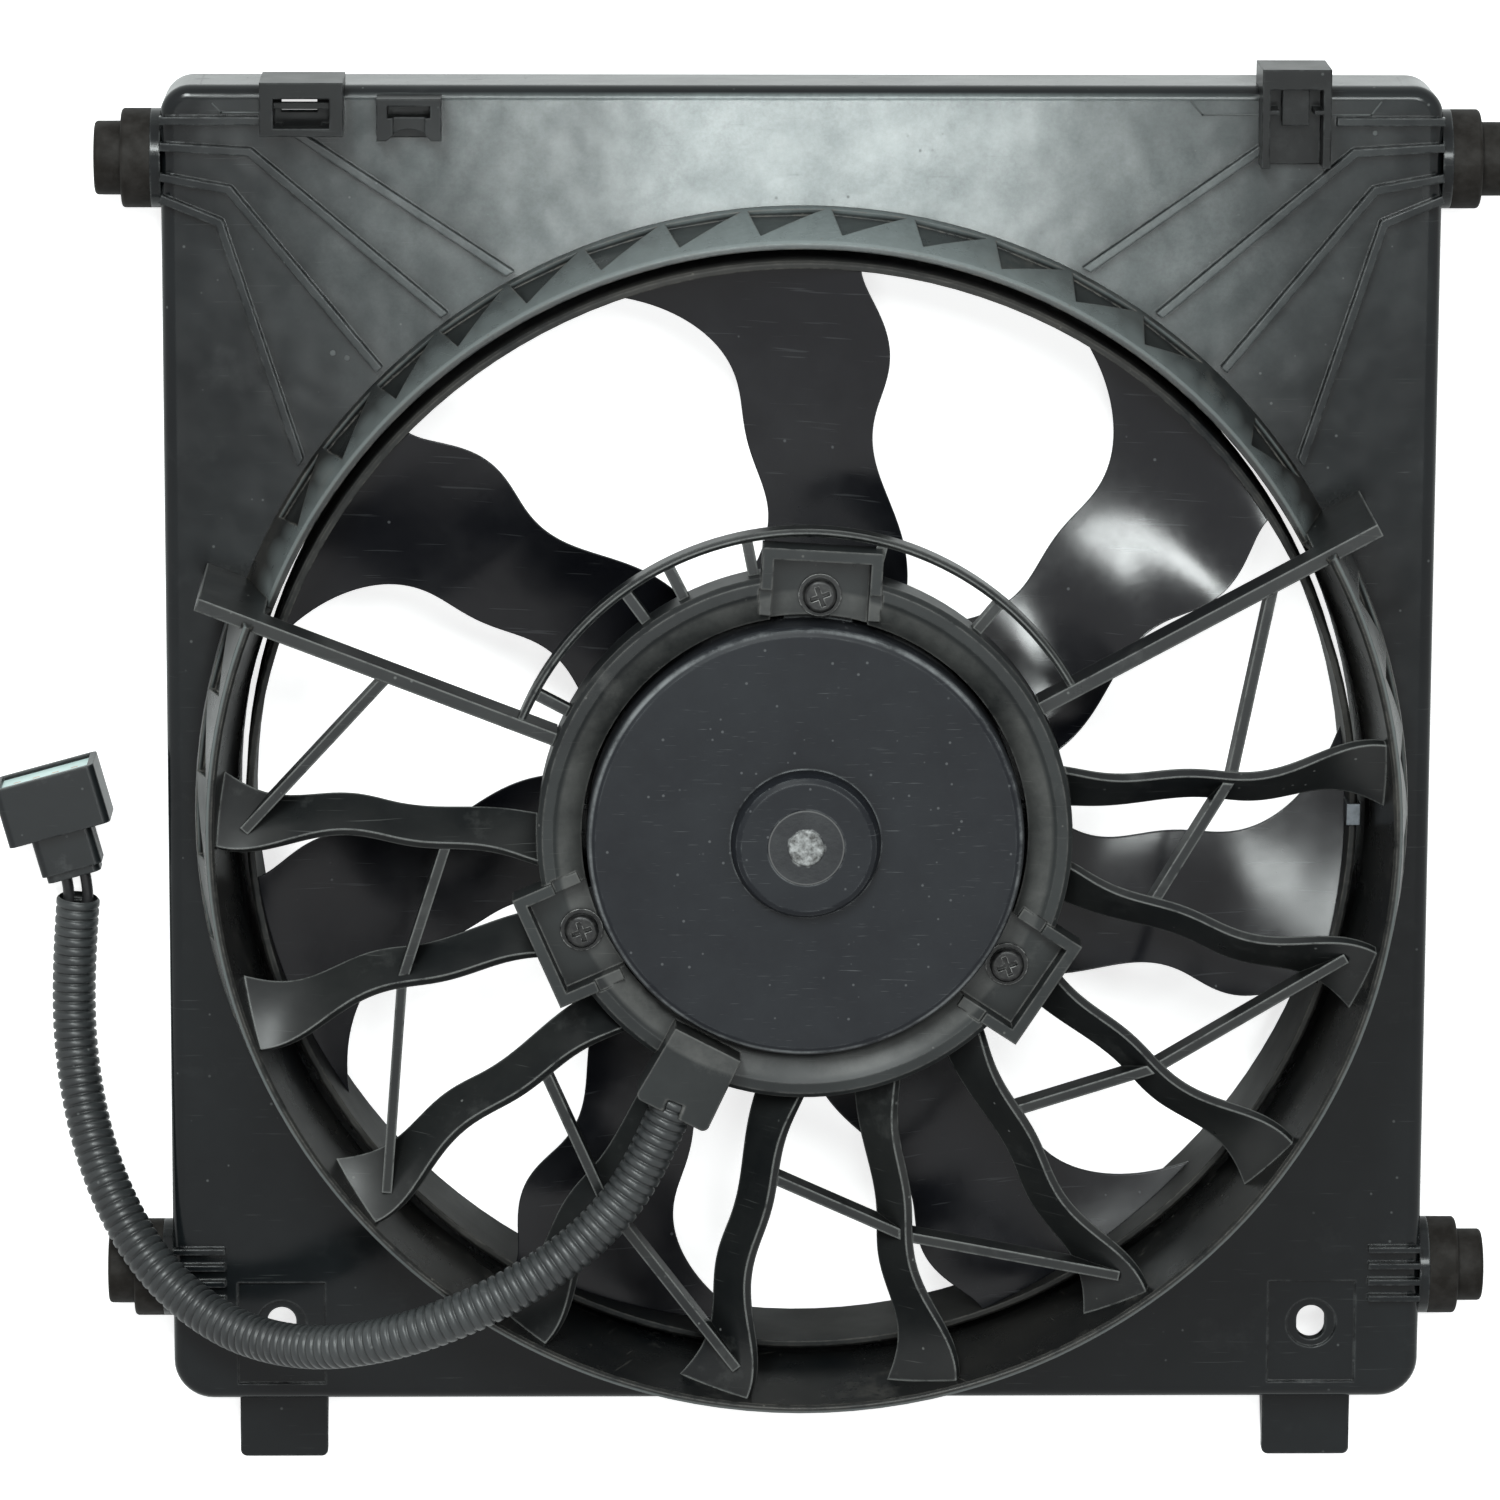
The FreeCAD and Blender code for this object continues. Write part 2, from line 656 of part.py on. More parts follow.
def upper_band():
    base = (BAND_BASE_R, PANEL_DEPTH)
    top = (BARREL_R + BARREL_WALL, LIP_TOP)
    start = ARM_LAST - 360
    shape = revolved([
        (BARREL_R, BARREL_REAR),
        (BARREL_R + BARREL_WALL, BARREL_REAR),
        (BARREL_R + BARREL_WALL, PANEL_DEPTH + EPS),
        (BAND_BASE_R - BAND_FOOT_WIDTH, PANEL_DEPTH),
        base,
        (top[0], top[1] - EDGE_BREAK),
        (top[0] - EDGE_BREAK, top[1]),
        (BARREL_R, top[1]),
    ], start, ARM_FIRST - start)
    teeth = [
        tooth_recess(base, top, tip) for tip in tooth_angles()
        if start + TOOTH_SPAN < tip % 360 < ARM_FIRST - TOOTH_LEAN
    ]
    return shape.cut(teeth)


def collar():
    base = (COLLAR_BASE_R, COLLAR_SKIRT_TOP)
    top = (COLLAR_TOP_R, COLLAR_TOP)
    shape = revolved([
        (BARREL_R, BARREL_REAR),
        (BARREL_R + BARREL_WALL, BARREL_REAR),
        (BARREL_R + BARREL_WALL, COLLAR_CROTCH),
        (PANEL_HOLE_R, COLLAR_CROTCH),
        (PANEL_HOLE_R, PANEL_DEPTH),
        (COLLAR_BASE_R, PANEL_DEPTH),
        base,
        (top[0], top[1] - EDGE_BREAK),
        (top[0] - EDGE_BREAK, top[1]),
        (top[0] - COLLAR_LIP + EDGE_BREAK, top[1]),
        (top[0] - COLLAR_LIP, top[1] - EDGE_BREAK),
        (BARREL_R, LIP_TOP),
    ], ARM_FIRST, ARM_LAST - ARM_FIRST)
    teeth = [
        tooth_recess(base, top, tip) for tip in tooth_angles()
        if ARM_FIRST + TOOTH_SPAN < tip < ARM_LAST - TOOTH_LEAN
    ]
    return shape.cut(teeth)


def collar_and_beyond():
    """The collar's inner face and everything outside it, which the arms end at."""
    reach = ARM_OUTER_R + COLLAR_TOP
    rim_r = COLLAR_TOP_R - COLLAR_LIP
    return revolved([
        (BARREL_R, 0), (reach, 0), (reach, 2 * COLLAR_TOP), (rim_r, 2 * COLLAR_TOP),
        (rim_r, COLLAR_TOP - EDGE_BREAK), (BARREL_R, LIP_TOP),
    ])


# Support arms and braces

def arm_section(degrees, share, turn, lean):
    """Leaning strip across an arm: the rear edge trails the front edge."""
    inner = RING_R - 1.5 * RING_WALL
    radius = inner + (ARM_OUTER_R - inner) * share
    across = polar(1.0, degrees + turn + 90)
    front = polar(radius, degrees + turn, ARM_TOP)
    rear = front - across * lean - UP * ARM_DEPTH
    half = polar(1.0, degrees + turn).cross(rear - front).normalize() * (ARM_THICK / 2)
    corners = [front + half, rear + half, rear - half, front - half]
    return Part.makePolygon(corners + [corners[0]])


def curved_arm(degrees):
    sections = [arm_section(degrees, *station) for station in ARM_STATIONS]
    return Part.makeLoft(sections, True, False)


def straight_arm(degrees):
    """Arm at an end of the collar, with a deep fin that closes the collar off."""
    outer_r = BARREL_R + BARREL_WALL
    low = ARM_TOP - STRAIGHT_ARM_DEPTH
    blade = radial_bar(degrees, HOUSING_R, outer_r, STRAIGHT_ARM_THICK, low, ARM_TOP)
    fin = radial_bar(degrees, outer_r, FIN_REACH, STRAIGHT_ARM_THICK, PANEL_DEPTH, ARM_TOP)
    return blade.fuse(fin)


def motor_well():
    """Space of the mounting ring and its pockets, which the arms and the guard end at."""
    space = cylinder(RING_R, 2 * COLLAR_TOP, ORIGIN)
    pockets = [
        radial_bar(
            degrees, HOUSING_R, POCKET_OUTER_R + POCKET_FRAME,
            2 * (POCKET_HALF_WIDTH + POCKET_FRAME), 0, 2 * COLLAR_TOP,
        )
        for degrees in SCREW_ANGLES
    ]
    return space.fuse(pockets)


def support_arms(well, outside):
    arms = []
    for index in range(ARM_COUNT):
        degrees = ARM_FIRST + index * ARM_PITCH
        if index in (0, ARM_COUNT - 1):
            arm = straight_arm(degrees).cut(well)
        else:
            arm = curved_arm(degrees).cut([well, outside])
        arms.append(one_solid(arm))
    return arms


def on_arm(index, radius):
    return polar(radius, ARM_FIRST + index * ARM_PITCH)


def brace_lines():
    """Each brace starts on one arm, crosses the next and ends on the one after."""
    lines = [(on_arm(0, FIRST_BRACE_R), on_arm(1, BRACE_OUTER_R))]
    last = ARM_COUNT - 1
    for index in range(1, last, 2):
        cross = on_arm(index + 1, BRACE_CROSS_R)
        lines.append((on_arm(index, BRACE_INNER_R), cross))
        if index + 2 <= last:
            outer_r = BRACE_OUTER_R if index + 2 < last else LAST_BRACE_R
            lines.append((cross, on_arm(index + 2, outer_r)))
    return lines


def arm_braces(arms, well, outside):
    high = ARM_TOP - BRACE_SINK
    pieces = []
    for start, end in brace_lines():
        brace = bar(start, end, BRACE_THICK, high - BRACE_DEPTH, high)
        pieces.append(one_solid(brace.cut(arms + [well, outside])))
    return group(pieces)


# Motor mounting ring, pockets and finger guard

def pocket_cuts(degrees):
    """Screw pocket, its hole, and the steps where its frame meets the ring."""
    frame_middle = POCKET_HALF_WIDTH + POCKET_FRAME / 2 + EPS / 2
    cuts = [
        radial_bar(degrees, 0, POCKET_OUTER_R, 2 * POCKET_HALF_WIDTH, POCKET_FLOOR, POCKET_FRAME_TOP + EPS),
        cylinder(SCREW_BODY_R + LOOSE_GAP, RING_WALL * 2, polar(SCREW_CIRCLE_R, degrees, EAR_TOP - EPS)),
    ]
    for side in (-1, 1):
        step = radial_bar(
            degrees, 0, POCKET_STEP_R, POCKET_FRAME + EPS, RING_TOP - 1.0, POCKET_FRAME_TOP + EPS,
        )
        step.translate(polar(side * frame_middle, degrees + 90))
        cuts.append(step)
    return cuts


def motor_ring():
    wall_r = RING_R - RING_WALL
    inner_wall_r = RING_INNER_R + RING_WALL
    crest_r = wall_r - RING_CREST / 2
    ring = revolved([
        (wall_r, RING_BOTTOM),
        (RING_R, RING_BOTTOM),
        (RING_R, RING_TOP - RING_CREST / 2),
        (RING_R - RING_CREST / 2, RING_TOP),
        (crest_r, RING_TOP),
        (RING_INNER_R, RING_INNER_TOP),
        (RING_INNER_R, RING_INNER_TOP - RING_INNER_LIP),
        (inner_wall_r, RING_INNER_TOP - RING_INNER_LIP),
        (inner_wall_r, RING_INNER_TOP - RING_INNER_LIP / 2),
        (wall_r, RING_TOP - RING_WALL),
    ])
    frames = [
        radial_bar(
            degrees, RING_INNER_R, POCKET_OUTER_R + POCKET_FRAME,
            2 * (POCKET_HALF_WIDTH + POCKET_FRAME), EAR_TOP, POCKET_FRAME_TOP,
        )
        for degrees in SCREW_ANGLES
    ]
    cuts = [cylinder(RING_INNER_R, 2 * RING_TOP, ORIGIN)]
    for degrees in SCREW_ANGLES:
        cuts.extend(pocket_cuts(degrees))
    return one_solid(ring.fuse(frames).cut(cuts))


def guard_hoop(arms, well):
    low = ARM_TOP - GUARD_DEPTH
    inner, outer = GUARD_R - GUARD_WIDTH / 2, GUARD_R + GUARD_WIDTH / 2
    start = ARM_LAST - 360
    hoop = revolved([
        (inner, low), (outer, low), (outer, ARM_TOP - EDGE_BREAK), (GUARD_R, ARM_TOP),
        (inner, ARM_TOP - EDGE_BREAK),
    ], start, ARM_FIRST - start)
    high = ARM_TOP - STRUT_SINK
    struts = [
        radial_bar(degrees, RING_R - RING_WALL, GUARD_R, STRUT_WIDTH, high - STRUT_DEPTH, high)
        for degrees in GUARD_STRUTS
    ]
    return one_solid(hoop.fuse(struts).cut([arms[0], arms[-1], well]))


# Motor housing and what it holds

def motor_housing():
    """Cover with its bearing tube, and the three fixing ears on its side."""
    round_share = 0.3
    body = revolved([
        (0, HOUSING_BOTTOM),
        (HOUSING_R, HOUSING_BOTTOM),
        (HOUSING_R, HOUSING_TOP - HOUSING_ROUND),
        (HOUSING_R - HOUSING_ROUND * round_share, HOUSING_TOP - HOUSING_ROUND * round_share),
        (HOUSING_R - HOUSING_ROUND, HOUSING_TOP),
        (BOSS_R, HOUSING_TOP),
        (BOSS_R - BOSS_DRAFT, BOSS_TOP - BOSS_ROUND),
        (BOSS_R - BOSS_ROUND / 2, BOSS_TOP - BOSS_ROUND * round_share),
        (BOSS_R - BOSS_ROUND, BOSS_TOP),
        (0, BOSS_TOP),
    ])
    hollow = tube(HOUSING_R - HOUSING_WALL, TUBE_R, HOUSING_BOTTOM - EPS, HOUSING_TOP - HOUSING_ROOF)
    bearing_tube = tube(TUBE_R, TUBE_BORE_R, TUBE_BOTTOM, HOUSING_BOTTOM)
    ears = [
        radial_bar(
            degrees, HOUSING_R - HOUSING_WALL, EAR_REACH, 2 * EAR_HALF_WIDTH, EAR_TOP - EAR_THICK, EAR_TOP,
        )
        for degrees in SCREW_ANGLES
    ]
    rear_seat_top = REAR_BEARING_BOTTOM + BEARING_WIDTH
    front_seat = FRONT_BEARING_TOP - BEARING_WIDTH
    cuts = [
        cylinder(TUBE_BORE_R, BOSS_TOP - TUBE_BOTTOM, Vector(0, 0, TUBE_BOTTOM)),
        cylinder(BEARING_R, rear_seat_top - TUBE_BOTTOM + EPS, Vector(0, 0, TUBE_BOTTOM - EPS)),
        cylinder(BEARING_R, BOSS_TOP - front_seat, Vector(0, 0, front_seat)),
        cylinder(CAP_R, CAP_THICK + EPS, Vector(0, 0, BOSS_TOP - CAP_THICK)),
    ]
    ear_cuts = [cylinder(HOUSING_R, HOUSING_TOP, ORIGIN)]
    for degrees in SCREW_ANGLES:
        hole_base = polar(SCREW_CIRCLE_R, degrees, EAR_TOP - EAR_THICK - EPS)
        ear_cuts.append(cylinder(SCREW_BODY_R, EAR_THICK + 2 * EPS, hole_base))
    cover = one_solid(body.cut(hollow).fuse(bearing_tube).cut(cuts))
    return group([cover] + [ear.cut(ear_cuts) for ear in ears])


def end_cap():
    """Round cap over the front bearing, with a spot of sealing compound on it."""
    cap = cylinder(CAP_R, CAP_THICK, Vector(0, 0, BOSS_TOP - CAP_THICK))
    spot = cylinder(GLUE_R, GLUE_HEIGHT + EPS, Vector(0, 0, BOSS_TOP - EPS))
    return cap.fuse(spot)


def stator_core():
    """Laminated core: a ring with a shoe at the end of each tooth."""
    core = tube(STATOR_CORE_R, TUBE_R + SEAT_GAP, STATOR_BOTTOM, STATOR_TOP)
    shoe_r = STATOR_R - TOOTH_SHOE
    shoe_sweep = 360 / STATOR_TEETH - SHOE_GAP_DEG
    shoe = [(shoe_r, STATOR_BOTTOM), (STATOR_R, STATOR_BOTTOM), (STATOR_R, STATOR_TOP), (shoe_r, STATOR_TOP)]
    teeth = []
    for index in range(STATOR_TEETH):
        degrees = index * 360 / STATOR_TEETH
        teeth.append(radial_bar(
            degrees, STATOR_CORE_R - EPS, shoe_r + EPS, TOOTH_WIDTH, STATOR_BOTTOM, STATOR_TOP,
        ))
        teeth.append(revolved(shoe, degrees - shoe_sweep / 2, shoe_sweep))
    return core.fuse(teeth)


def stator_windings(core):
    """One copper coil round each tooth of the core."""
    inner = STATOR_CORE_R + COIL_END_GAP
    outer = STATOR_R - TOOTH_SHOE - COIL_END_GAP
    sector_sweep = 360 / STATOR_TEETH - COIL_END_GAP
    sector = [(inner, 0), (outer + COIL_GROW, 0), (outer + COIL_GROW, RING_TOP), (inner, RING_TOP)]
    coils = []
    for index in range(STATOR_TEETH):
        degrees = index * 360 / STATOR_TEETH
        coil = radial_bar(
            degrees, inner, outer, TOOTH_WIDTH + 2 * COIL_GROW,
            STATOR_BOTTOM - COIL_GROW, STATOR_TOP + COIL_GROW,
        )
        wedge = revolved(sector, degrees - sector_sweep / 2, sector_sweep)
        coils.append(one_solid(coil.common(wedge).cut(core)))
    return group(coils)


def circuit_board():
    board = tube(BOARD_R, BOARD_HOLE_R, BOARD_TOP - BOARD_THICK, BOARD_TOP)
    spacers = [
        cylinder(SPACER_R, SPACER_HEIGHT, polar(SPACER_CIRCLE_R, degrees, BOARD_TOP))
        for degrees in SPACER_ANGLES
    ]
    return board.fuse(spacers)


def capacitors():
    low = BOARD_TOP - BOARD_THICK - CAPACITOR_HEIGHT
    return group([
        cylinder(CAPACITOR_R, CAPACITOR_HEIGHT, polar(CAPACITOR_CIRCLE_R, degrees, low))
        for degrees in CAPACITOR_ANGLES
    ])


def bearing_bottoms():
    return [FRONT_BEARING_TOP - BEARING_WIDTH, REAR_BEARING_BOTTOM]


def bearing_rings(outer, inner):
    """The same ring of both bearings, with its ball groove."""
    rings = []
    for bottom in bearing_bottoms():
        groove = Part.makeTorus(BALL_CIRCLE_R, GROOVE_R, Vector(0, 0, bottom + BEARING_WIDTH / 2))
        rings.append(tube(outer, inner, bottom, bottom + BEARING_WIDTH).cut(groove))
    return group(rings)


def bearing_balls():
    balls = []
    for bottom in bearing_bottoms():
        for index in range(BALL_COUNT):
            centre = polar(BALL_CIRCLE_R, index * 360 / BALL_COUNT, bottom + BEARING_WIDTH / 2)
            balls.append(Part.makeSphere(BALL_R, centre))
    return group(balls)


def wave_washer():
    """Preload spring between the shaft's clip and the front bearing."""
    low = FRONT_BEARING_TOP
    return tube(CIRCLIP_R, SHAFT_R + SEAT_GAP, low, low + WASHER_SPRING_THICK)


def clip_groove():
    low = FRONT_BEARING_TOP + WASHER_SPRING_THICK
    return tube(SHAFT_R + EPS, SHAFT_R - CIRCLIP_SINK, low, low + CIRCLIP_THICK)


def shaft_clip():
    """Spring ring in the shaft's groove, open on one side."""
    low = FRONT_BEARING_TOP + WASHER_SPRING_THICK
    ring = tube(CIRCLIP_R, SHAFT_R - CIRCLIP_SINK, low, low + CIRCLIP_THICK)
    return ring.cut(radial_bar(0, 0, CIRCLIP_R + EPS, CIRCLIP_GAP, low - EPS, low + CIRCLIP_THICK + EPS))


def rotor_shaft():
    end_r = SHAFT_R - SHAFT_CHAMFER
    shaft = revolved([
        (0, SHAFT_BOTTOM), (end_r, SHAFT_BOTTOM), (SHAFT_R, SHAFT_BOTTOM + SHAFT_CHAMFER),
        (SHAFT_R, SHAFT_TOP - SHAFT_CHAMFER), (end_r, SHAFT_TOP), (0, SHAFT_TOP),
    ])
    return shaft.cut(clip_groove())


def fan_screw_points(z):
    return [
        polar(FAN_SCREW_CIRCLE_R, FAN_SCREW_START + index * 360 / FAN_SCREW_COUNT, z)
        for index in range(FAN_SCREW_COUNT)
    ]


def rotor_bell():
    inner_r = BELL_R - BELL_WALL
    floor_top = BELL_BOTTOM + BELL_WALL
    bell = revolved([
        (SHAFT_R, BELL_BOTTOM - BELL_HUB_LENGTH), (BELL_HUB_R, BELL_BOTTOM - BELL_HUB_LENGTH),
        (BELL_HUB_R, BELL_BOTTOM), (BELL_R - BELL_ROUND, BELL_BOTTOM), (BELL_R, BELL_BOTTOM + BELL_ROUND),
        (BELL_R, BELL_TOP), (inner_r, BELL_TOP), (inner_r, floor_top), (SHAFT_R, floor_top),
    ])
    holes = [
        cylinder(FAN_SCREW_R, BELL_WALL + 2 * EPS, point) for point in fan_screw_points(BELL_BOTTOM - EPS)
    ]
    return bell.cut(holes)


def rotor_magnets():
    outer = BELL_R - BELL_WALL
    inner = outer - MAGNET_THICK
    sweep = 360 / MAGNET_COUNT - MAGNET_GAP_DEG
    profile = [(inner, MAGNET_BOTTOM), (outer, MAGNET_BOTTOM), (outer, MAGNET_TOP), (inner, MAGNET_TOP)]
    return group([
        revolved(profile, index * 360 / MAGNET_COUNT, sweep) for index in range(MAGNET_COUNT)
    ])


# Fan

def fan_hub():
    inner_r = HUB_R - HUB_WALL
    bore_r = BELL_HUB_R + LOOSE_GAP
    face_top = HUB_BOTTOM + HUB_FACE_THICK
    hub = revolved([
        (bore_r, HUB_BOTTOM), (HUB_R - HUB_ROUND, HUB_BOTTOM), (HUB_R, HUB_BOTTOM + HUB_ROUND),
        (HUB_R, HUB_TOP), (inner_r, HUB_TOP), (inner_r, face_top), (bore_r, face_top),
    ])
    posts = [
        cylinder(FAN_SCREW_R + HUB_POST_WALL, HUB_POST_HEIGHT, point)
        for point in fan_screw_points(HUB_BOTTOM)
    ]
    ribs = [
        radial_bar(
            index * 360 / HUB_RIB_COUNT, bore_r + EPS, inner_r + EPS, HUB_RIB_THICK,
            HUB_BOTTOM + 1.0, BELL_BOTTOM - 1.0,
        )
        for index in range(HUB_RIB_COUNT)
    ]
    cuts = []
    for point in fan_screw_points(HUB_BOTTOM - EPS):
        cuts.append(cylinder(FAN_SCREW_R + LOOSE_GAP, HUB_POST_HEIGHT + 2 * EPS, point))
        cuts.append(cylinder(FAN_SCREW_HEAD_R + LOOSE_GAP, FAN_SCREW_HEAD + EPS, point))
    return one_solid(hub.fuse(posts + ribs).cut(cuts))


def fan_screws():
    screws = []
    for point in fan_screw_points(HUB_BOTTOM):
        head = cylinder(FAN_SCREW_HEAD_R, FAN_SCREW_HEAD, point)
        body = cylinder(FAN_SCREW_R, BELL_BOTTOM + BELL_WALL - HUB_BOTTOM, point)
        recess = cylinder(FAN_SCREW_R, FAN_SCREW_RECESS, point)
        screws.append(head.fuse(body).cut(recess))
    return group(screws)


def blade_outline(share, trailing, leading):
    """Closed outline of the blade on a cylinder about the axis."""
    inner = HUB_R - BLADE_SINK
    radius = inner + (FAN_BAND_R - FAN_BAND_WALL + BLADE_SINK - inner) * share
    front = BLADE_FRONT + (BLADE_FRONT_TIP - BLADE_FRONT) * share
    rear = BLADE_REAR + (BLADE_REAR_TIP - BLADE_REAR) * share
    upper = []
    lower = []
    for index in range(BLADE_STEPS + 1):
        step = index / BLADE_STEPS
        belly = 4 * step * (1 - step)
        z = front + (rear - front) * step - BLADE_CAMBER * belly
        half = BLADE_THICK / 2 * (BLADE_EDGE_SHARE + (1 - BLADE_EDGE_SHARE) * belly)
        degrees = trailing + (leading - trailing) * step
        upper.append(polar(radius, degrees, z + half))
        lower.append(polar(radius, degrees, z - half))
    return upper, lower


def smooth_edge(points):
    curve = Part.BSplineCurve()
    curve.interpolate(points)
    return curve.toShape()


def blade_section(share, trailing, leading):
    upper, lower = blade_outline(share, trailing, leading)
    return Part.Wire([
        smooth_edge(upper),
        Part.LineSegment(upper[-1], lower[-1]).toShape(),
        smooth_edge(list(reversed(lower))),
        Part.LineSegment(lower[0], upper[0]).toShape(),
    ])


def fan_blades():
    sections = [blade_section(*station) for station in BLADE_STATIONS]
    blade = Part.makeLoft(sections, True, False)
    band_space = tube(BARREL_R, FAN_BAND_R - FAN_BAND_WALL, 0, COLLAR_TOP)
    hub_space = cylinder(HUB_R, COLLAR_TOP, ORIGIN)
    blade = one_solid(blade.cut([band_space, hub_space]))
    return [turned(blade, index * 360 / BLADE_COUNT) for index in range(BLADE_COUNT)]


def fan_band():
    """Ring round the blade tips, with a bead at its rear edge."""
    inner = FAN_BAND_R - FAN_BAND_WALL
    bead_r = FAN_BAND_R + FAN_BAND_BEAD
    bead_top = FAN_BAND_REAR + FAN_BAND_BEAD_WIDTH
    return revolved([
        (inner, FAN_BAND_REAR + FAN_BAND_BEAD), (inner + FAN_BAND_BEAD, FAN_BAND_REAR),
        (bead_r, FAN_BAND_REAR), (bead_r, bead_top), (FAN_BAND_R, bead_top + FAN_BAND_BEAD),
        (FAN_BAND_R, FAN_BAND_TOP - EDGE_BREAK), (FAN_BAND_R - EDGE_BREAK, FAN_BAND_TOP),
        (inner, FAN_BAND_TOP),
    ])


def balance_clip(band, blades):
    """Folded metal weight pushed over the rim of the rotating band."""
    inner = FAN_BAND_R - FAN_BAND_WALL - CLIP_WEIGHT_THICK
    outer = FAN_BAND_R + CLIP_WEIGHT_OUTER
    low = FAN_BAND_TOP - CLIP_WEIGHT_LENGTH
    clip = radial_bar(
        CLIP_WEIGHT_ANGLE, inner, outer, CLIP_WEIGHT_WIDTH, low, FAN_BAND_TOP + CLIP_WEIGHT_THICK,
    )
    return one_solid(clip.cut([band] + blades))


# Fasteners

def cross_recess(centre, top):
    slots = []
    for degrees in (RECESS_TURN, RECESS_TURN + 90):
        slot = bar(
            (-RECESS_REACH, 0), (RECESS_REACH, 0), RECESS_WIDTH, top - RECESS_DEPTH, top + EPS,
        )
        slot.rotate(ORIGIN, UP, degrees)
        slot.translate(Vector(centre.x, centre.y, 0))
        slots.append(slot)
    return slots


def motor_screws():
    screws = []
    for degrees in SCREW_ANGLES:
        base = polar(SCREW_CIRCLE_R, degrees, POCKET_FLOOR + WASHER_THICK)
        top = base.z + SCREW_HEAD
        head = cylinder(SCREW_HEAD_R, SCREW_HEAD, base)
        head = head.makeFillet(SCREW_HEAD_ROUND, edges_at_height(head, top))
        body = cylinder(SCREW_BODY_R, SCREW_LENGTH, base - UP * SCREW_LENGTH)
        screws.append(head.fuse(body).cut(cross_recess(base, top)))
    return group(screws)


def screw_washers():
    washers = []
    for degrees in SCREW_ANGLES:
        base = polar(SCREW_CIRCLE_R, degrees, POCKET_FLOOR)
        hole = cylinder(SCREW_BODY_R + SEAT_GAP, WASHER_THICK, base)
        washers.append(cylinder(WASHER_R, WASHER_THICK, base).cut(hole))
    return group(washers)


# Isolators, feet and clips

def round_far_rim(shape, side, x):
    rims = [
        edge for edge in shape.Edges
        if len(edge.Vertexes) == 1 and abs(side * edge.Vertexes[0].Point.x - x) < SMALL
    ]
    return shape.makeFillet(RUBBER_ROUND, rims)


def isolator(side, y):
    """Rubber cup over the socket's pin, with a stub that drops into a bracket."""
    start = PANEL_HALF_WIDTH + SOCKET_THICK
    base = Vector(side * start, y, ISOLATOR_Z)
    direction = Vector(side, 0, 0)
    cup = cylinder(RUBBER_R, RUBBER_THICK, base, direction)
    stub = cylinder(STUB_R, RUBBER_THICK + STUB_LENGTH, base, direction)
    cup = round_far_rim(cup, side, start + RUBBER_THICK)
    stub = round_far_rim(stub, side, start + RUBBER_THICK + STUB_LENGTH)
    bore = cylinder(PIN_R + SEAT_GAP, PIN_LENGTH + SEAT_GAP, base, direction)
    return cup.fuse(stub).cut(bore)


def lower_foot(side):
    """Tongue below the panel that drops into a slot of the car's front end."""
    left, right = side * PAD_X - FOOT_HALF_WIDTH, side * PAD_X + FOOT_HALF_WIDTH
    tongue = box((left, right), (FOOT_REACH, PANEL_BOTTOM), (FOOT_BOTTOM, FOOT_BOTTOM + FOOT_THICK))
    tongue = tongue.makeFillet(FOOT_CORNER, upright_edges(tongue, FOOT_REACH))
    tip = FOOT_REACH + FOOT_RIB_SETBACK
    ribs = []
    for x in (left, side * PAD_X - FOOT_RIB / 2, right - FOOT_RIB):
        face = polygon_face([
            Vector(x, PANEL_BOTTOM, FOOT_BOTTOM + EPS), Vector(x, PANEL_BOTTOM, FOOT_BOTTOM - FOOT_RIB_HEIGHT),
            Vector(x, tip, FOOT_BOTTOM), Vector(x, tip, FOOT_BOTTOM + EPS),
        ])
        ribs.append(face.extrude(Vector(FOOT_RIB, 0, 0)))
    return tongue.fuse(ribs)


def clip_skirt(x_range, y_range):
    """Wall of a clip that reaches down over the panel's top edge."""
    edge = box(x_range, (PANEL_TOP - PANEL_WALL, y_range[1]), (PANEL_DEPTH - PANEL_EDGE_ROUND, PANEL_DEPTH))
    drop = box(x_range, (PANEL_TOP, y_range[1]), (PANEL_DEPTH - CLIP_DROP, PANEL_DEPTH))
    return edge.fuse(drop)


def left_clip(panel_pieces):
    """Box-shaped catch with a well, a mouth towards the fan and a bar across."""
    x0, x1 = LEFT_CLIP_X
    y0, y1 = LEFT_CLIP_Y
    top = LEFT_CLIP_TOP
    body = box((x0, x1), (y0, y1), (PANEL_DEPTH, top)).fuse(clip_skirt(LEFT_CLIP_X, LEFT_CLIP_Y))
    well = box(
        (x0 + LEFT_WELL_INSET, x1 - LEFT_WELL_INSET), (y0 + CLIP_WALL, y1 - 2 * CLIP_WALL),
        (CLIP_FLOOR, top + EPS),
    )
    mouth = box(
        (x0 + LEFT_MOUTH_INSET, x1 - LEFT_MOUTH_INSET), (y0 - EPS, y0 + CLIP_WALL + EPS),
        (CLIP_FLOOR, CLIP_FLOOR + LEFT_MOUTH_HEIGHT),
    )
    window = box(WINDOW_X, WINDOW_Y, (PANEL_DEPTH - EPS, top + EPS))
    catch_y = y1 - LEFT_CATCH_BACK
    catch = box(
        (x0 + CLIP_WALL, x1 - CLIP_WALL), (catch_y, catch_y + LEFT_CATCH_THICK),
        (top - LEFT_CATCH_DROP - LEFT_CATCH_THICK, top - LEFT_CATCH_DROP),
    )
    return one_solid(body.cut([well, mouth, window]).fuse(catch).cut(panel_pieces))


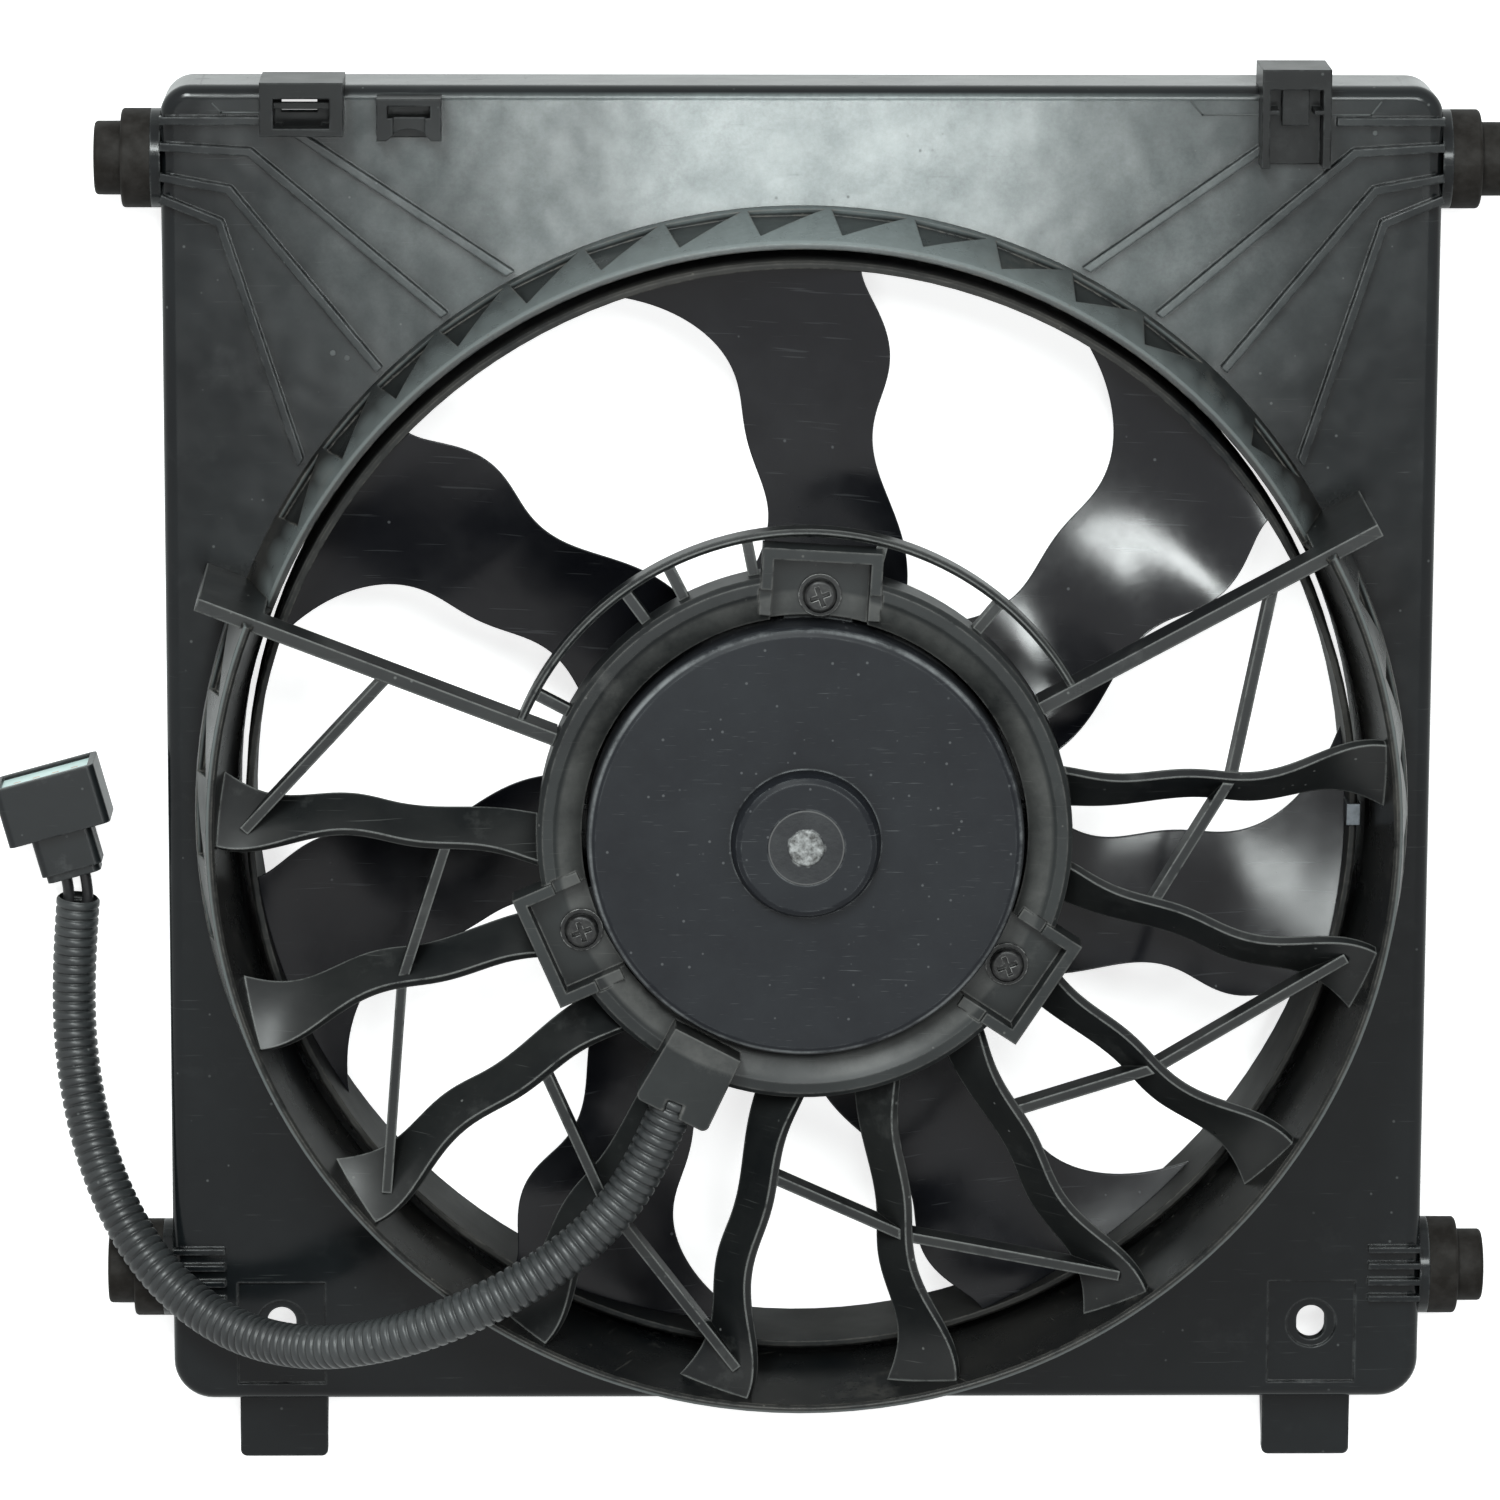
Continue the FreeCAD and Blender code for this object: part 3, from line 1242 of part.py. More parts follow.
def right_clip(panel_pieces):
    """Channel-shaped catch, open towards the fan, with a snap tongue at its outer end."""
    x0, x1 = RIGHT_CLIP_X
    y0, y1 = RIGHT_CLIP_Y
    top = RIGHT_CLIP_TOP
    floor = CLIP_FLOOR - EPS
    middle = (x0 + x1) / 2
    stop_y = y1 - STOP_BACK
    tongue_low = top - TONGUE_DROP - TONGUE_THICK
    body = box((x0, x1), (y0, y1), (PANEL_DEPTH, CLIP_FLOOR))
    body = body.fuse([
        clip_skirt(RIGHT_CLIP_X, RIGHT_CLIP_Y),
        box((x0, x0 + CLIP_WALL), (y0, y1), (floor, top)),
        box((x1 - CLIP_WALL, x1), (y0, y1), (floor, top)),
        box((x0, x1), (y1 - RIGHT_BAR, y1), (floor, top)),
        box(
            (middle - TONGUE_WIDTH / 2, middle + TONGUE_WIDTH / 2),
            (y1 - RIGHT_BAR - TONGUE_LENGTH, y1 - RIGHT_BAR + EPS), (tongue_low, tongue_low + TONGUE_THICK),
        ),
        box((x0, x0 + CLIP_WALL + STOP_LENGTH), (stop_y, stop_y + STOP_THICK), (floor, top)),
        box((x1 - CLIP_WALL - STOP_LENGTH, x1), (stop_y, stop_y + STOP_THICK), (floor, top)),
    ])
    return one_solid(body.cut(panel_pieces))


def small_clip():
    """Low saddle that holds the harness of the car."""
    x0, x1 = SMALL_CLIP_X
    y0, y1 = SMALL_CLIP_Y
    top = SMALL_CLIP_TOP
    body = box((x0, x1), (y0, y1), (PANEL_DEPTH, top))
    saddle = cylinder(SADDLE_R, top, Vector((x0 + x1) / 2, y0 - SADDLE_SHIFT, PANEL_DEPTH + SADDLE_FLOOR))
    well = box(
        (x0 + SMALL_WELL_INSET, x1 - SMALL_WELL_INSET), (y0 + SMALL_WELL_START, y1 - SMALL_WELL_WALL),
        (CLIP_FLOOR, top + EPS),
    )
    notch = box(
        (x0 + SMALL_NOTCH_INSET, x1 - SMALL_NOTCH_INSET), (y0, y0 + SMALL_WELL_START + EPS),
        (top - SMALL_NOTCH_DEPTH, top + EPS),
    )
    return one_solid(body.cut([saddle, well, notch]))


# Harness

def lead_block_blank():
    """Tapered block that carries the leads over the mounting ring."""
    along = polar(1.0, BLOCK_ANGLE)
    across = polar(1.0, BLOCK_ANGLE + 90)
    middle = polar(RING_R, BLOCK_TURN, BLOCK_BOTTOM)
    inner = middle - along * (BLOCK_LENGTH / 2)
    outer = middle + along * (BLOCK_LENGTH / 2)
    half_in = across * (BLOCK_INNER_WIDTH / 2)
    half_out = across * (BLOCK_OUTER_WIDTH / 2)
    face = polygon_face([inner - half_in, outer - half_out, outer + half_out, inner + half_in])
    return face.extrude(UP * (BLOCK_TOP - BLOCK_BOTTOM))


def conduit_start():
    """Point and direction of the conduit's end inside the lead block."""
    first, second = Vector(*CONDUIT_ROUTE[0]), Vector(*CONDUIT_ROUTE[1])
    direction = (second - first).normalize()
    return first - direction * CONDUIT_INSERT, direction


def lead_block(housing, arm):
    """Cover of the leads: seated on the mounting ring, with a socket for the conduit."""
    block = lead_block_blank()
    rounded = [
        edge for edge in block.Edges
        if abs(edge.tangentAt(edge.FirstParameter).z) > 1 - SMALL
        and edge.CenterOfMass.x ** 2 + edge.CenterOfMass.y ** 2 > RING_R ** 2
    ]
    start, direction = conduit_start()
    seat = cylinder(CONDUIT_R + SEAT_GAP, BLOCK_LENGTH, start, direction)
    return one_solid(block.makeFillet(BLOCK_ROUND, rounded).cut([housing, arm, seat]))


def rounded_path(points):
    """Straight runs joined by tangent arcs, each as large as its two runs allow."""
    edges = []
    radii = []
    current = points[0]
    for before, corner, after in zip(points, points[1:], points[2:]):
        into = (corner - before).normalize()
        out = (after - corner).normalize()
        turn = into.getAngle(out)
        set_back = 0.45 * min((corner - before).Length, (after - corner).Length)
        radius = set_back / math.tan(turn / 2)
        radii.append(radius)
        start = corner - into * set_back
        end = corner + out * set_back
        middle = corner + (out - into).normalize() * (radius / math.cos(turn / 2) - radius)
        edges.append(Part.LineSegment(current, start).toShape())
        edges.append(Part.Arc(start, middle, end).toShape())
        current = end
    edges.append(Part.LineSegment(current, points[-1]).toShape())
    return Part.Wire(edges), radii


def swept_tube(points, radius):
    path, radii = rounded_path(points)
    circle = Part.Circle(points[0], points[1] - points[0], radius)
    return path.makePipeShell([Part.Wire(circle.toShape())], True, False), path.Length, radii


def conduit():
    start, _ = conduit_start()
    route = [start] + [Vector(*point) for point in CONDUIT_ROUTE[1:]]
    outer, length, radii = swept_tube(route, CONDUIT_R)
    inner = swept_tube(route, CONDUIT_BORE_R)[0]
    shell = outer.cut(inner)
    section = math.pi * (CONDUIT_R ** 2 - CONDUIT_BORE_R ** 2)
    print("conduit length", round(length, 1), "bend radii", [round(radius) for radius in radii])
    print("conduit volume against section times length", round(shell.Volume / (section * length), 4))
    return shell


def plug_point(along_axis, across_axis=0.0):
    """Point on the plug's centre plane, measured from its tail."""
    along = polar(1.0, 90 + PLUG_ANGLE)
    across = polar(1.0, PLUG_ANGLE)
    return Vector(PLUG_TAIL[0], PLUG_TAIL[1], PLUG_Z) + along * along_axis + across * across_axis


def plug_block(start, end, width, depth, across_axis=0.0):
    """Block along the plug's axis."""
    corners = []
    for along_axis, side in ((start, -1), (end, -1), (end, 1), (start, 1)):
        point = plug_point(along_axis, across_axis + side * width / 2)
        corners.append(point - UP * (depth / 2))
    return polygon_face(corners).extrude(UP * depth)


def rounded_plug_block(start, end, width, depth):
    block = plug_block(start, end, width, depth)
    along = polar(1.0, 90 + PLUG_ANGLE)
    long_edges = [
        edge for edge in block.Edges if abs(edge.tangentAt(edge.FirstParameter).dot(along)) > 1 - SMALL
    ]
    return block.makeFillet(PLUG_ROUND, long_edges)


def plug_end():
    return NECK_LENGTH + PLUG_LENGTH


def mouth_size():
    return PLUG_WIDTH - 2 * PLUG_WALL, PLUG_DEPTH - 2 * PLUG_WALL


def plug_body(leads):
    head = rounded_plug_block(NECK_LENGTH, plug_end(), PLUG_WIDTH, PLUG_DEPTH)
    neck = rounded_plug_block(0, NECK_LENGTH + EPS, NECK_WIDTH, NECK_DEPTH)
    lip = rounded_plug_block(-TAIL_LIP, EPS, TAIL_LIP_WIDTH, TAIL_LIP_DEPTH)
    width, depth = mouth_size()
    mouth = plug_block(plug_end() - PLUG_MOUTH_DEPTH, plug_end() + EPS, width, depth)
    return head.fuse([neck, lip]).cut([mouth, leads])


def terminal_blocks():
    blocks = []
    for share in TERMINAL_SHARES:
        blocks.append(plug_block(
            plug_end() - PLUG_MOUTH_DEPTH, plug_end() - LINER_SINK, TERMINAL_WIDTH, TERMINAL_THICK,
            share * TERMINAL_PITCH,
        ))
    return blocks


def plug_liner():
    """Pale insert with the terminal slots, a little below the plug's rim."""
    width, depth = mouth_size()
    liner = plug_block(plug_end() - PLUG_MOUTH_DEPTH, plug_end() - LINER_SINK, width, depth)
    return liner.cut(terminal_blocks())


def harness_leads():
    """Two leads that show between the conduit's cut end and the plug."""
    end = Vector(*CONDUIT_ROUTE[-1])
    direction = (end - Vector(*CONDUIT_ROUTE[-2])).normalize()
    side_way = direction.cross(UP).normalize()
    leads = []
    for side in (-1, 1):
        shift = side * WIRE_OFFSET
        points = [
            end - direction * WIRE_INSERT + side_way * shift,
            end + direction * WIRE_STRAIGHT + side_way * shift,
            plug_point(-TAIL_LIP - WIRE_STRAIGHT, shift),
            plug_point(plug_end() - PLUG_MOUTH_DEPTH, shift),
        ]
        leads.append(swept_tube(points, WIRE_R)[0])
    return group(leads)


def save_shroud():
    well = motor_well()
    outside = collar_and_beyond()
    arms = support_arms(well, outside)
    ends = [arms[0], arms[-1]]
    walls = panel_walls()
    panel = one_solid(shroud_panel(walls).cut(ends))
    save("panel_walls", walls)
    save("shroud_panel", panel)
    save("upper_band", one_solid(upper_band().cut(ends)))
    save("collar", one_solid(collar().cut(ends)))
    for number, arm in enumerate(arms, 1):
        save("support_arm_%02d" % number, arm)
    save("arm_braces", arm_braces(arms, well, outside))
    save("guard_hoop", guard_hoop(arms, well))
    save("upper_left_clip", left_clip([panel, walls]))
    save("upper_right_clip", right_clip([panel, walls]))
    save("small_clip", small_clip())
    places = [(side, y) for side in (-1, 1) for y in (UPPER_ISOLATOR_Y, LOWER_ISOLATOR_Y)]
    save("isolator_sockets", group([isolator_socket(side, y) for side, y in places]))
    save("rubber_isolators", group([isolator(side, y) for side, y in places]))
    save("lower_foot_left", lower_foot(-1))
    save("lower_foot_right", lower_foot(1))
    return arms


def save_motor(arms):
    housing = motor_housing()
    save("motor_ring", one_solid(motor_ring().cut(lead_block_blank())))
    save("motor_housing", housing)
    lead_arm = min(arms, key=lambda arm: (arm.CenterOfMass - lead_block_blank().CenterOfMass).Length)
    save("lead_block", lead_block(housing, lead_arm))
    save("end_cap", end_cap())
    save("motor_screws", motor_screws())
    save("screw_washers", screw_washers())
    core = stator_core()
    save("stator_core", core)
    save("stator_windings", stator_windings(core))
    save("circuit_board", circuit_board())
    save("capacitors", capacitors())
    save("bearing_outer_rings", bearing_rings(BEARING_R, RACE_OUTER_R))


def save_rotor():
    band = fan_band()
    blades = fan_blades()
    save("rotor_shaft", rotor_shaft())
    save("bearing_inner_rings", bearing_rings(RACE_INNER_R, SHAFT_R))
    save("bearing_balls", bearing_balls())
    save("wave_washer", wave_washer())
    save("shaft_clip", shaft_clip())
    save("rotor_bell", rotor_bell())
    save("rotor_magnets", rotor_magnets())
    save("fan_hub", fan_hub())
    save("fan_screws", fan_screws())
    for number, blade in enumerate(blades, 1):
        save("fan_blade_%d" % number, blade)
    save("fan_band", band)
    save("balance_clip", balance_clip(band, blades))


def save_harness():
    leads = harness_leads()
    save("conduit", conduit())
    save("harness_wires", leads)
    save("plug_body", plug_body(leads))
    save("plug_liner", plug_liner())
    save("plug_terminals", group(terminal_blocks()))


arms_made = save_shroud()
save_motor(arms_made)
save_rotor()
save_harness()
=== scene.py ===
import bpy
import math
from mathutils import Matrix, Vector


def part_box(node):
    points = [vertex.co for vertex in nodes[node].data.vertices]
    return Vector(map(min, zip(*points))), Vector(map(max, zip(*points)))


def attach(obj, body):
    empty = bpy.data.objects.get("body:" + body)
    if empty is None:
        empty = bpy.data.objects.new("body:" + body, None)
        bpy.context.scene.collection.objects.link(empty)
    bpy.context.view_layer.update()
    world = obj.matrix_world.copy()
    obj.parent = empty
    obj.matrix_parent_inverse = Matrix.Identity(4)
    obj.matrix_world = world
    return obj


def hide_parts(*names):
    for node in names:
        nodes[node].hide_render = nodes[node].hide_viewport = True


# Condenser fan lying on its rear rim, seen from above as in the photograph.
# Sizes are in metres, in the same frame as the solids.

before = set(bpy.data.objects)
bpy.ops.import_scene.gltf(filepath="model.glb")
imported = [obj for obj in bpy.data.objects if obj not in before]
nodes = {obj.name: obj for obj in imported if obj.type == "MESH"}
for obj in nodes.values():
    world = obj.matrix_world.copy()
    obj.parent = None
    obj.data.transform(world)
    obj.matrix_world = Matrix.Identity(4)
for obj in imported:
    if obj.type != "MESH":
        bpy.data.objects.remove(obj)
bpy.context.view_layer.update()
MM = 0.001

# The fan axis lies at x = 0; its y is the middle of the motor housing's end cap
cap_low, cap_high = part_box("end_cap")
AXIS_Y = (cap_low[1] + cap_high[1]) / 2
BAND_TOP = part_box("upper_band")[1][2]

# Camera as the photograph was taken: tilt from straight down, turn to the side, roll, distance and aim
CAMERA_TILT = math.radians(11.803)
CAMERA_TURN = math.radians(1.137)
CAMERA_ROLL = math.radians(0.031)
CAMERA_DISTANCE = 2.4
CAMERA_AIM = Vector((-0.014988, 0.013309 + AXIS_Y, 0.030))
PICTURE_WIDTH = 1500
PIXELS_PER_METRE = 3332.4
SENSOR_WIDTH = 36.0
FARTHEST_SEEN = 30

# Soft boxes above the fan: name, place, point aimed at, width, height and power in watts
SOFT_BOXES = [
    ("panel_box", (0.07, -0.13, 2.8), (0.02, 0.18, 0), 0.32, 0.32, 10.5),
    ("blade_box", (0.30, 1.00, 2.8), (0, 0, 0), 1.10, 0.50, 36),
    ("rear_box", (-0.70, 2.00, 2.8), (0, 0, 0), 0.50, 1.20, 90),
]
LAMP_TINT = (0.94, 1.0, 0.99)

# Light from all round on the fan, and the pale floor under it
WORLD_LEVEL = 0.30
FLOOR_SIZE = 8
FLOOR_HEIGHT = -0.0005
FLOOR_TONE = (0.8, 0.8, 0.8, 1.0)
FLOOR_GLOW = 0.75

# Route of the conduit, from inside the lead block to its cut end
CONDUIT_ROUTE = [
    (-0.0379, -0.0777 + AXIS_Y, 0.0951),
    (-0.0465, -0.0990 + AXIS_Y, 0.0955),
    (-0.0610, -0.1180 + AXIS_Y, 0.0976),
    (-0.0835, -0.1340 + AXIS_Y, 0.1008),
    (-0.1105, -0.1470 + AXIS_Y, 0.0994),
    (-0.1365, -0.1565 + AXIS_Y, 0.0870),
    (-0.1580, -0.1610 + AXIS_Y, 0.0670),
    (-0.1780, -0.1575 + AXIS_Y, 0.0505),
    (-0.1975, -0.1425 + AXIS_Y, 0.0385),
    (-0.2115, -0.1185 + AXIS_Y, 0.0260),
    (-0.2190, -0.0905 + AXIS_Y, 0.0136),
    (-0.2205, -0.0620 + AXIS_Y, 0.0074),
    (-0.2182, -0.0364 + AXIS_Y, 0.0094),
]
CURVE_STEPS = 24

# One ridge of the conduit: shares of the pitch, each with the radius reached there
CONDUIT_R = 6.6 * MM
SHOULDER_R = 0.965 * CONDUIT_R
GROOVE_R = 5.9 * MM
RIDGE_PITCH = 2.95 * MM
RIDGE_SIDES = 28
RIDGE_PROFILE = [
    (0.09, GROOVE_R), (0.15, SHOULDER_R), (0.27, CONDUIT_R), (0.73, CONDUIT_R),
    (0.85, SHOULDER_R), (0.91, GROOVE_R), (1.0, GROOVE_R),
]
MERGE_SHARE = 0.01

# Low beads and ejector marks on the panel's face; their places are in millimetres from the fan axis
PANEL_FACE = 30 * MM
BEAD_WIDTH = 0.5 * MM
BEAD_HEIGHT = 0.18 * MM
MARK_SIDES = 24
MOULDING_LINES = [
    ("moulding_line_right", [(114.8, 208.8), (118.1, 205.0), (136.0, 205.0)]),
    ("moulding_line_far_right", [(154.0, 205.0), (168.1, 205.0), (171.0, 208.8)]),
    ("moulding_line_left", [(-174.2, 208.0), (-171.6, 205.4), (-158.0, 205.4)]),
]
EJECTOR_PLACES = [(-139.2, 133.7), (-135.0, 132.2), (169.3, 199.6)]
EJECTOR_RADII = [0.9 * MM, 0.9 * MM, 0.8 * MM]

# Painted sheen on the top middle of the shroud, a lighter greenish grey standing in for reflected lamp light:
# middle, stretch, how far its edge wanders, and the distances where the sheen starts and is full
SHEEN_PLACE = (0.004, 0.196 + AXIS_Y, 0.0)
SHEEN_STRETCH = (1.0, 1.25, 0.0)
SHEEN_WANDER = 0.09
SHEEN_OUTER = 0.235
SHEEN_INNER = 0.075
PAINTED_SHEEN_TONE = (0.185, 0.212, 0.212)

# Outer faces of the band and the collar: radius and height at the foot and at the top
UPPER_BAND_SLOPE = ((0.1780, 0.0300), (0.1705, BAND_TOP))
COLLAR_SLOPE = ((0.1800, 0.0600), (0.1755, 0.0920))

# Painted shade on the floors and a painted highlight on the upper edges of the saw-tooth recesses: depths where the
# tone sets in, is full, is still full and has gone
RECESS_FLOOR_DEPTHS = (0.0009, 0.0015, 0.0023, 0.0028)
RECESS_FLOOR_SHADE_SHARE = 0.72
RECESS_FLOOR_SHADE = (0.006, 0.007, 0.007)
RECESS_BROW_DEPTHS = (0.00012, 0.00030, 0.0007, 0.0011)
RECESS_BROW_HIGHLIGHT_SHARE = 0.55

# Dusty slope inside the motor ring and worn rim of the motor cover: distances from the axis and soft edge
RING_SLOPE = (0.0655, 0.0720, 0.0012)
COVER_RIM = (0.0628, 0.0634, 0.0005)

# Sealing spot of the end cap, how far its edge wanders and how soft it is
SPOT_R = 0.0064
SPOT_WANDER = 0.0034
SPOT_SOFT = 0.0010

# Turned ring round the spot: radius, and half its width without and with its soft edge
TURNED_RING_R = 0.0109
TURNED_RING_HALF = 0.00012
TURNED_RING_SOFT_HALF = 0.00030

# Painted shade in corners and hollows, how far it reaches and how much of it shows
PAINTED_SHADE = (0.0015, 0.0016, 0.0016)
SHADE_DEPTH = 0.007
SHADE_SHARE = 0.65
SCREW_SHADE_DEPTH = 0.0012

# Openness of a place: no painted shade from the first, darkest from the second
OPEN_PLACE = 0.88
DEEP_HOLLOW = 0.45

# Upward lean of a face, for the painted sheen: none up to the first, full from the second
LEANING_FACE = 0.82
LEVEL_FACE = 0.98

# How far a rounded normal agrees with the face's own: a flat face, and a fully worn edge
FLAT_FACE = 0.995
WORN_EDGE = 0.90
SHADER_SAMPLES = 6

# Moulded plastic: rounding of its edges, reach of the scuffs along them, and scale, strength and height of its grain
PLASTIC_ROUNDING = 0.0007
SCUFF_REACH = 0.0011
GRAIN_SCALE = 2400.0
GRAIN_STRENGTH = 0.11
GRAIN_HEIGHT = 0.00005
DENT_SCALE = 16.0
DENT_HEIGHT = 0.0012

# Tones of the plastics: clean black, haze over it and dust on top
BLACK = (0.0055, 0.0066, 0.0074)
HAZE = (0.0088, 0.0108, 0.0118)
DUST = (0.085, 0.090, 0.090)
BROWN_HAZE = (0.030, 0.029, 0.0270)
BROWN_DUST = (0.105, 0.100, 0.090)
COLLAR_HAZE = (0.018, 0.0175, 0.0165)
CLIP_BLACK = (0.0035, 0.0038, 0.0040)
CLIP_HAZE = (0.010, 0.011, 0.0115)
ARM_HAZE = (0.019, 0.020, 0.0195)
ARM_DUST = (0.15, 0.155, 0.15)
RING_BLACK = (0.0085, 0.0100, 0.0105)
RING_HAZE = (0.022, 0.025, 0.025)
RING_DUST = (0.12, 0.12, 0.115)
CONDUIT_BLACK = (0.022, 0.024, 0.025)
CONDUIT_HAZE = (0.040, 0.044, 0.045)
CONDUIT_DUST = (0.11, 0.115, 0.115)
BLADE_BLACK = (0.0035, 0.0038, 0.0052)
BLADE_HAZE = (0.020, 0.021, 0.023)
BLADE_DUST = (0.10, 0.105, 0.11)
COVER_BLACK = (0.0060, 0.0070, 0.0095)
COVER_HAZE = (0.0145, 0.0165, 0.0195)
COVER_SCRATCH = (0.11, 0.115, 0.12)
COVER_EDGE = (0.16, 0.17, 0.175)
COVER_WORN = (0.20, 0.21, 0.215)
CAP_BLACK = (0.009, 0.010, 0.012)
CAP_HAZE = (0.024, 0.026, 0.028)
CAP_RING = (0.10, 0.10, 0.10)
CAP_SPECKS = (0.13, 0.135, 0.14)
SEAL_DARK = (0.05, 0.05, 0.048)
SEAL_PALE = (0.36, 0.37, 0.37)
SCREW_BLACK = (0.006, 0.006, 0.0065)
SCREW_HAZE = (0.024, 0.024, 0.023)
SCREW_RUBBED = (0.40, 0.40, 0.39)
SCREW_RECESS_SHADE = (0.001, 0.001, 0.001)


# Node materials

class NodeSheet:
    """Short calls for building one material's nodes."""

    def __init__(self, name):
        self.material = bpy.data.materials.new(name)
        self.material.use_nodes = True
        self.tree = self.material.node_tree
        self.tree.nodes.clear()
        self.output = self.add("ShaderNodeOutputMaterial")

    def add(self, kind, **settings):
        node = self.tree.nodes.new(kind)
        for key, value in settings.items():
            setattr(node, key, value)
        return node

    def link(self, source, target):
        self.tree.links.new(source, target)

    def place(self):
        """Place on the piece, in metres in the fan's frame."""
        return self.add("ShaderNodeTexCoord").outputs["Object"]

    def scaled(self, vector, scale, turn=0.0):
        mapping = self.add("ShaderNodeMapping")
        mapping.inputs["Rotation"].default_value = (0.0, 0.0, turn)
        mapping.inputs["Scale"].default_value = scale
        self.link(vector, mapping.inputs["Vector"])
        return mapping.outputs["Vector"]

    def noise(self, vector, scale, detail=4.0, roughness=0.55):
        node = self.add("ShaderNodeTexNoise")
        node.inputs["Scale"].default_value = scale
        node.inputs["Detail"].default_value = detail
        node.inputs["Roughness"].default_value = roughness
        self.link(vector, node.inputs["Vector"])
        return node.outputs["Fac"]

    def ramp(self, value, low, high, to_low=0.0, to_high=1.0):
        node = self.add("ShaderNodeMapRange")
        node.inputs["From Min"].default_value = low
        node.inputs["From Max"].default_value = high
        node.inputs["To Min"].default_value = to_low
        node.inputs["To Max"].default_value = to_high
        self.link(value, node.inputs["Value"])
        return node.outputs["Result"]

    def math(self, operation, first, second):
        node = self.add("ShaderNodeMath", operation=operation)
        for socket, value in zip(node.inputs, (first, second)):
            if isinstance(value, (int, float)):
                socket.default_value = value
            else:
                self.link(value, socket)
        return node.outputs[0]

    def times(self, first, second):
        return self.math("MULTIPLY", first, second)

    def most(self, first, second):
        return self.math("MAXIMUM", first, second)

    def mix(self, share, first, second):
        """From the first tone to the second as the share goes from 0 to 1."""
        node = self.add("ShaderNodeMix", data_type="RGBA")
        self.link(share, node.inputs["Factor"])
        for socket, value in ((node.inputs["A"], first), (node.inputs["B"], second)):
            if isinstance(value, tuple):
                socket.default_value = value + (1.0,)
            else:
                self.link(value, socket)
        return node.outputs["Result"]

    def specks(self, vector, scale, radius, rarity):
        """Small round specks: radius is in cell widths, rarity from 0 to 1 thins them out."""
        cells = self.add("ShaderNodeTexVoronoi")
        cells.inputs["Scale"].default_value = scale
        self.link(vector, cells.inputs["Vector"])
        near = self.ramp(cells.outputs["Distance"], radius, 0.6 * radius)
        picked = self.ramp(cells.outputs["Color"], rarity, rarity + 0.04)
        return self.times(near, picked)

    def hairlines(self, vector, turn, length, width, low):
        """Thin scratches along one direction of the XY plane."""
        stretched = self.scaled(vector, (1 / length, 1 / width, 1 / length), turn)
        return self.ramp(self.noise(stretched, 1.0, 2.0, 0.6), low, low + 0.05)

    def reach_from(self, vector, centre, stretch):
        """Distance from a place, with each direction stretched."""
        moved = self.add("ShaderNodeVectorMath", operation="SUBTRACT")
        moved.inputs[1].default_value = centre
        self.link(vector, moved.inputs[0])
        flat = self.add("ShaderNodeVectorMath", operation="MULTIPLY")
        flat.inputs[1].default_value = stretch
        self.link(moved.outputs["Vector"], flat.inputs[0])
        reach = self.add("ShaderNodeVectorMath", operation="LENGTH")
        self.link(flat.outputs["Vector"], reach.inputs[0])
        return reach.outputs["Value"]

    def from_axis(self, vector):
        """Distance from the fan axis."""
        return self.reach_from(vector, (0.0, AXIS_Y, 0.0), (1.0, 1.0, 0.0))

    def band(self, value, sets_in, full, still_full, gone):
        """1 in the middle of a range of values, fading to 0 at both ends."""
        return self.times(self.ramp(value, sets_in, full), self.ramp(value, gone, still_full))

    def ring_share(self, vector, inner, outer, soft):
        """1 between two distances from the fan axis, fading over a soft edge."""
        return self.band(self.from_axis(vector), inner - soft, inner, outer, outer + soft)

    def hollow_shade(self, depth):
        """1 in narrow hollows, 0 in the open: where painted shade goes."""
        shade = self.add("ShaderNodeAmbientOcclusion", samples=SHADER_SAMPLES)
        shade.inputs["Distance"].default_value = depth
        return self.ramp(shade.outputs["AO"], OPEN_PLACE, DEEP_HOLLOW)

    def below_slope(self, vector, low, high):
        """Depth under a wall that slopes round the axis from low to high, each a radius and a height."""
        run = Vector((high[0] - low[0], high[1] - low[1]))
        outward = Vector((run.y, -run.x)).normalized()
        parts = self.add("ShaderNodeSeparateXYZ")
        self.link(vector, parts.inputs[0])
        across = self.times(self.math("SUBTRACT", self.from_axis(vector), low[0]), -outward.x)
        upward = self.times(self.math("SUBTRACT", parts.outputs["Z"], low[1]), -outward.y)
        return self.math("ADD", across, upward)

    def facing_up(self):
        """1 on level faces, 0 on faces that lean by more than about 35 degrees."""
        geometry = self.add("ShaderNodeNewGeometry")
        parts = self.add("ShaderNodeSeparateXYZ")
        self.link(geometry.outputs["Normal"], parts.inputs[0])
        return self.ramp(parts.outputs["Z"], LEANING_FACE, LEVEL_FACE)

    def painted_sheen(self, vector):
        """Painted sheen, a lighter tone standing in for reflected lamp light on the top middle of the shroud: 1
        there, 0 far from it.
        """
        reach = self.reach_from(vector, SHEEN_PLACE, SHEEN_STRETCH)
        cloud = self.times(self.noise(vector, 14.0, 5.0, 0.6), SHEEN_WANDER)
        sheen_share = self.ramp(self.math("ADD", reach, cloud), SHEEN_OUTER, SHEEN_INNER)
        grain = self.ramp(self.noise(vector, 520.0, 5.0, 0.75), 0.35, 0.65, 0.72, 1.0)
        return self.times(self.math("POWER", sheen_share, 1.5), grain)

    def bump(self, height, strength, distance, normal=None):
        node = self.add("ShaderNodeBump")
        node.inputs["Strength"].default_value = strength
        node.inputs["Distance"].default_value = distance
        self.link(height, node.inputs["Height"])
        if normal is not None:
            self.link(normal, node.inputs["Normal"])
        return node.outputs["Normal"]

    def soft_edges(self, radius):
        """Normal that rounds edges off."""
        node = self.add("ShaderNodeBevel", samples=SHADER_SAMPLES)
        node.inputs["Radius"].default_value = radius
        return node.outputs["Normal"]

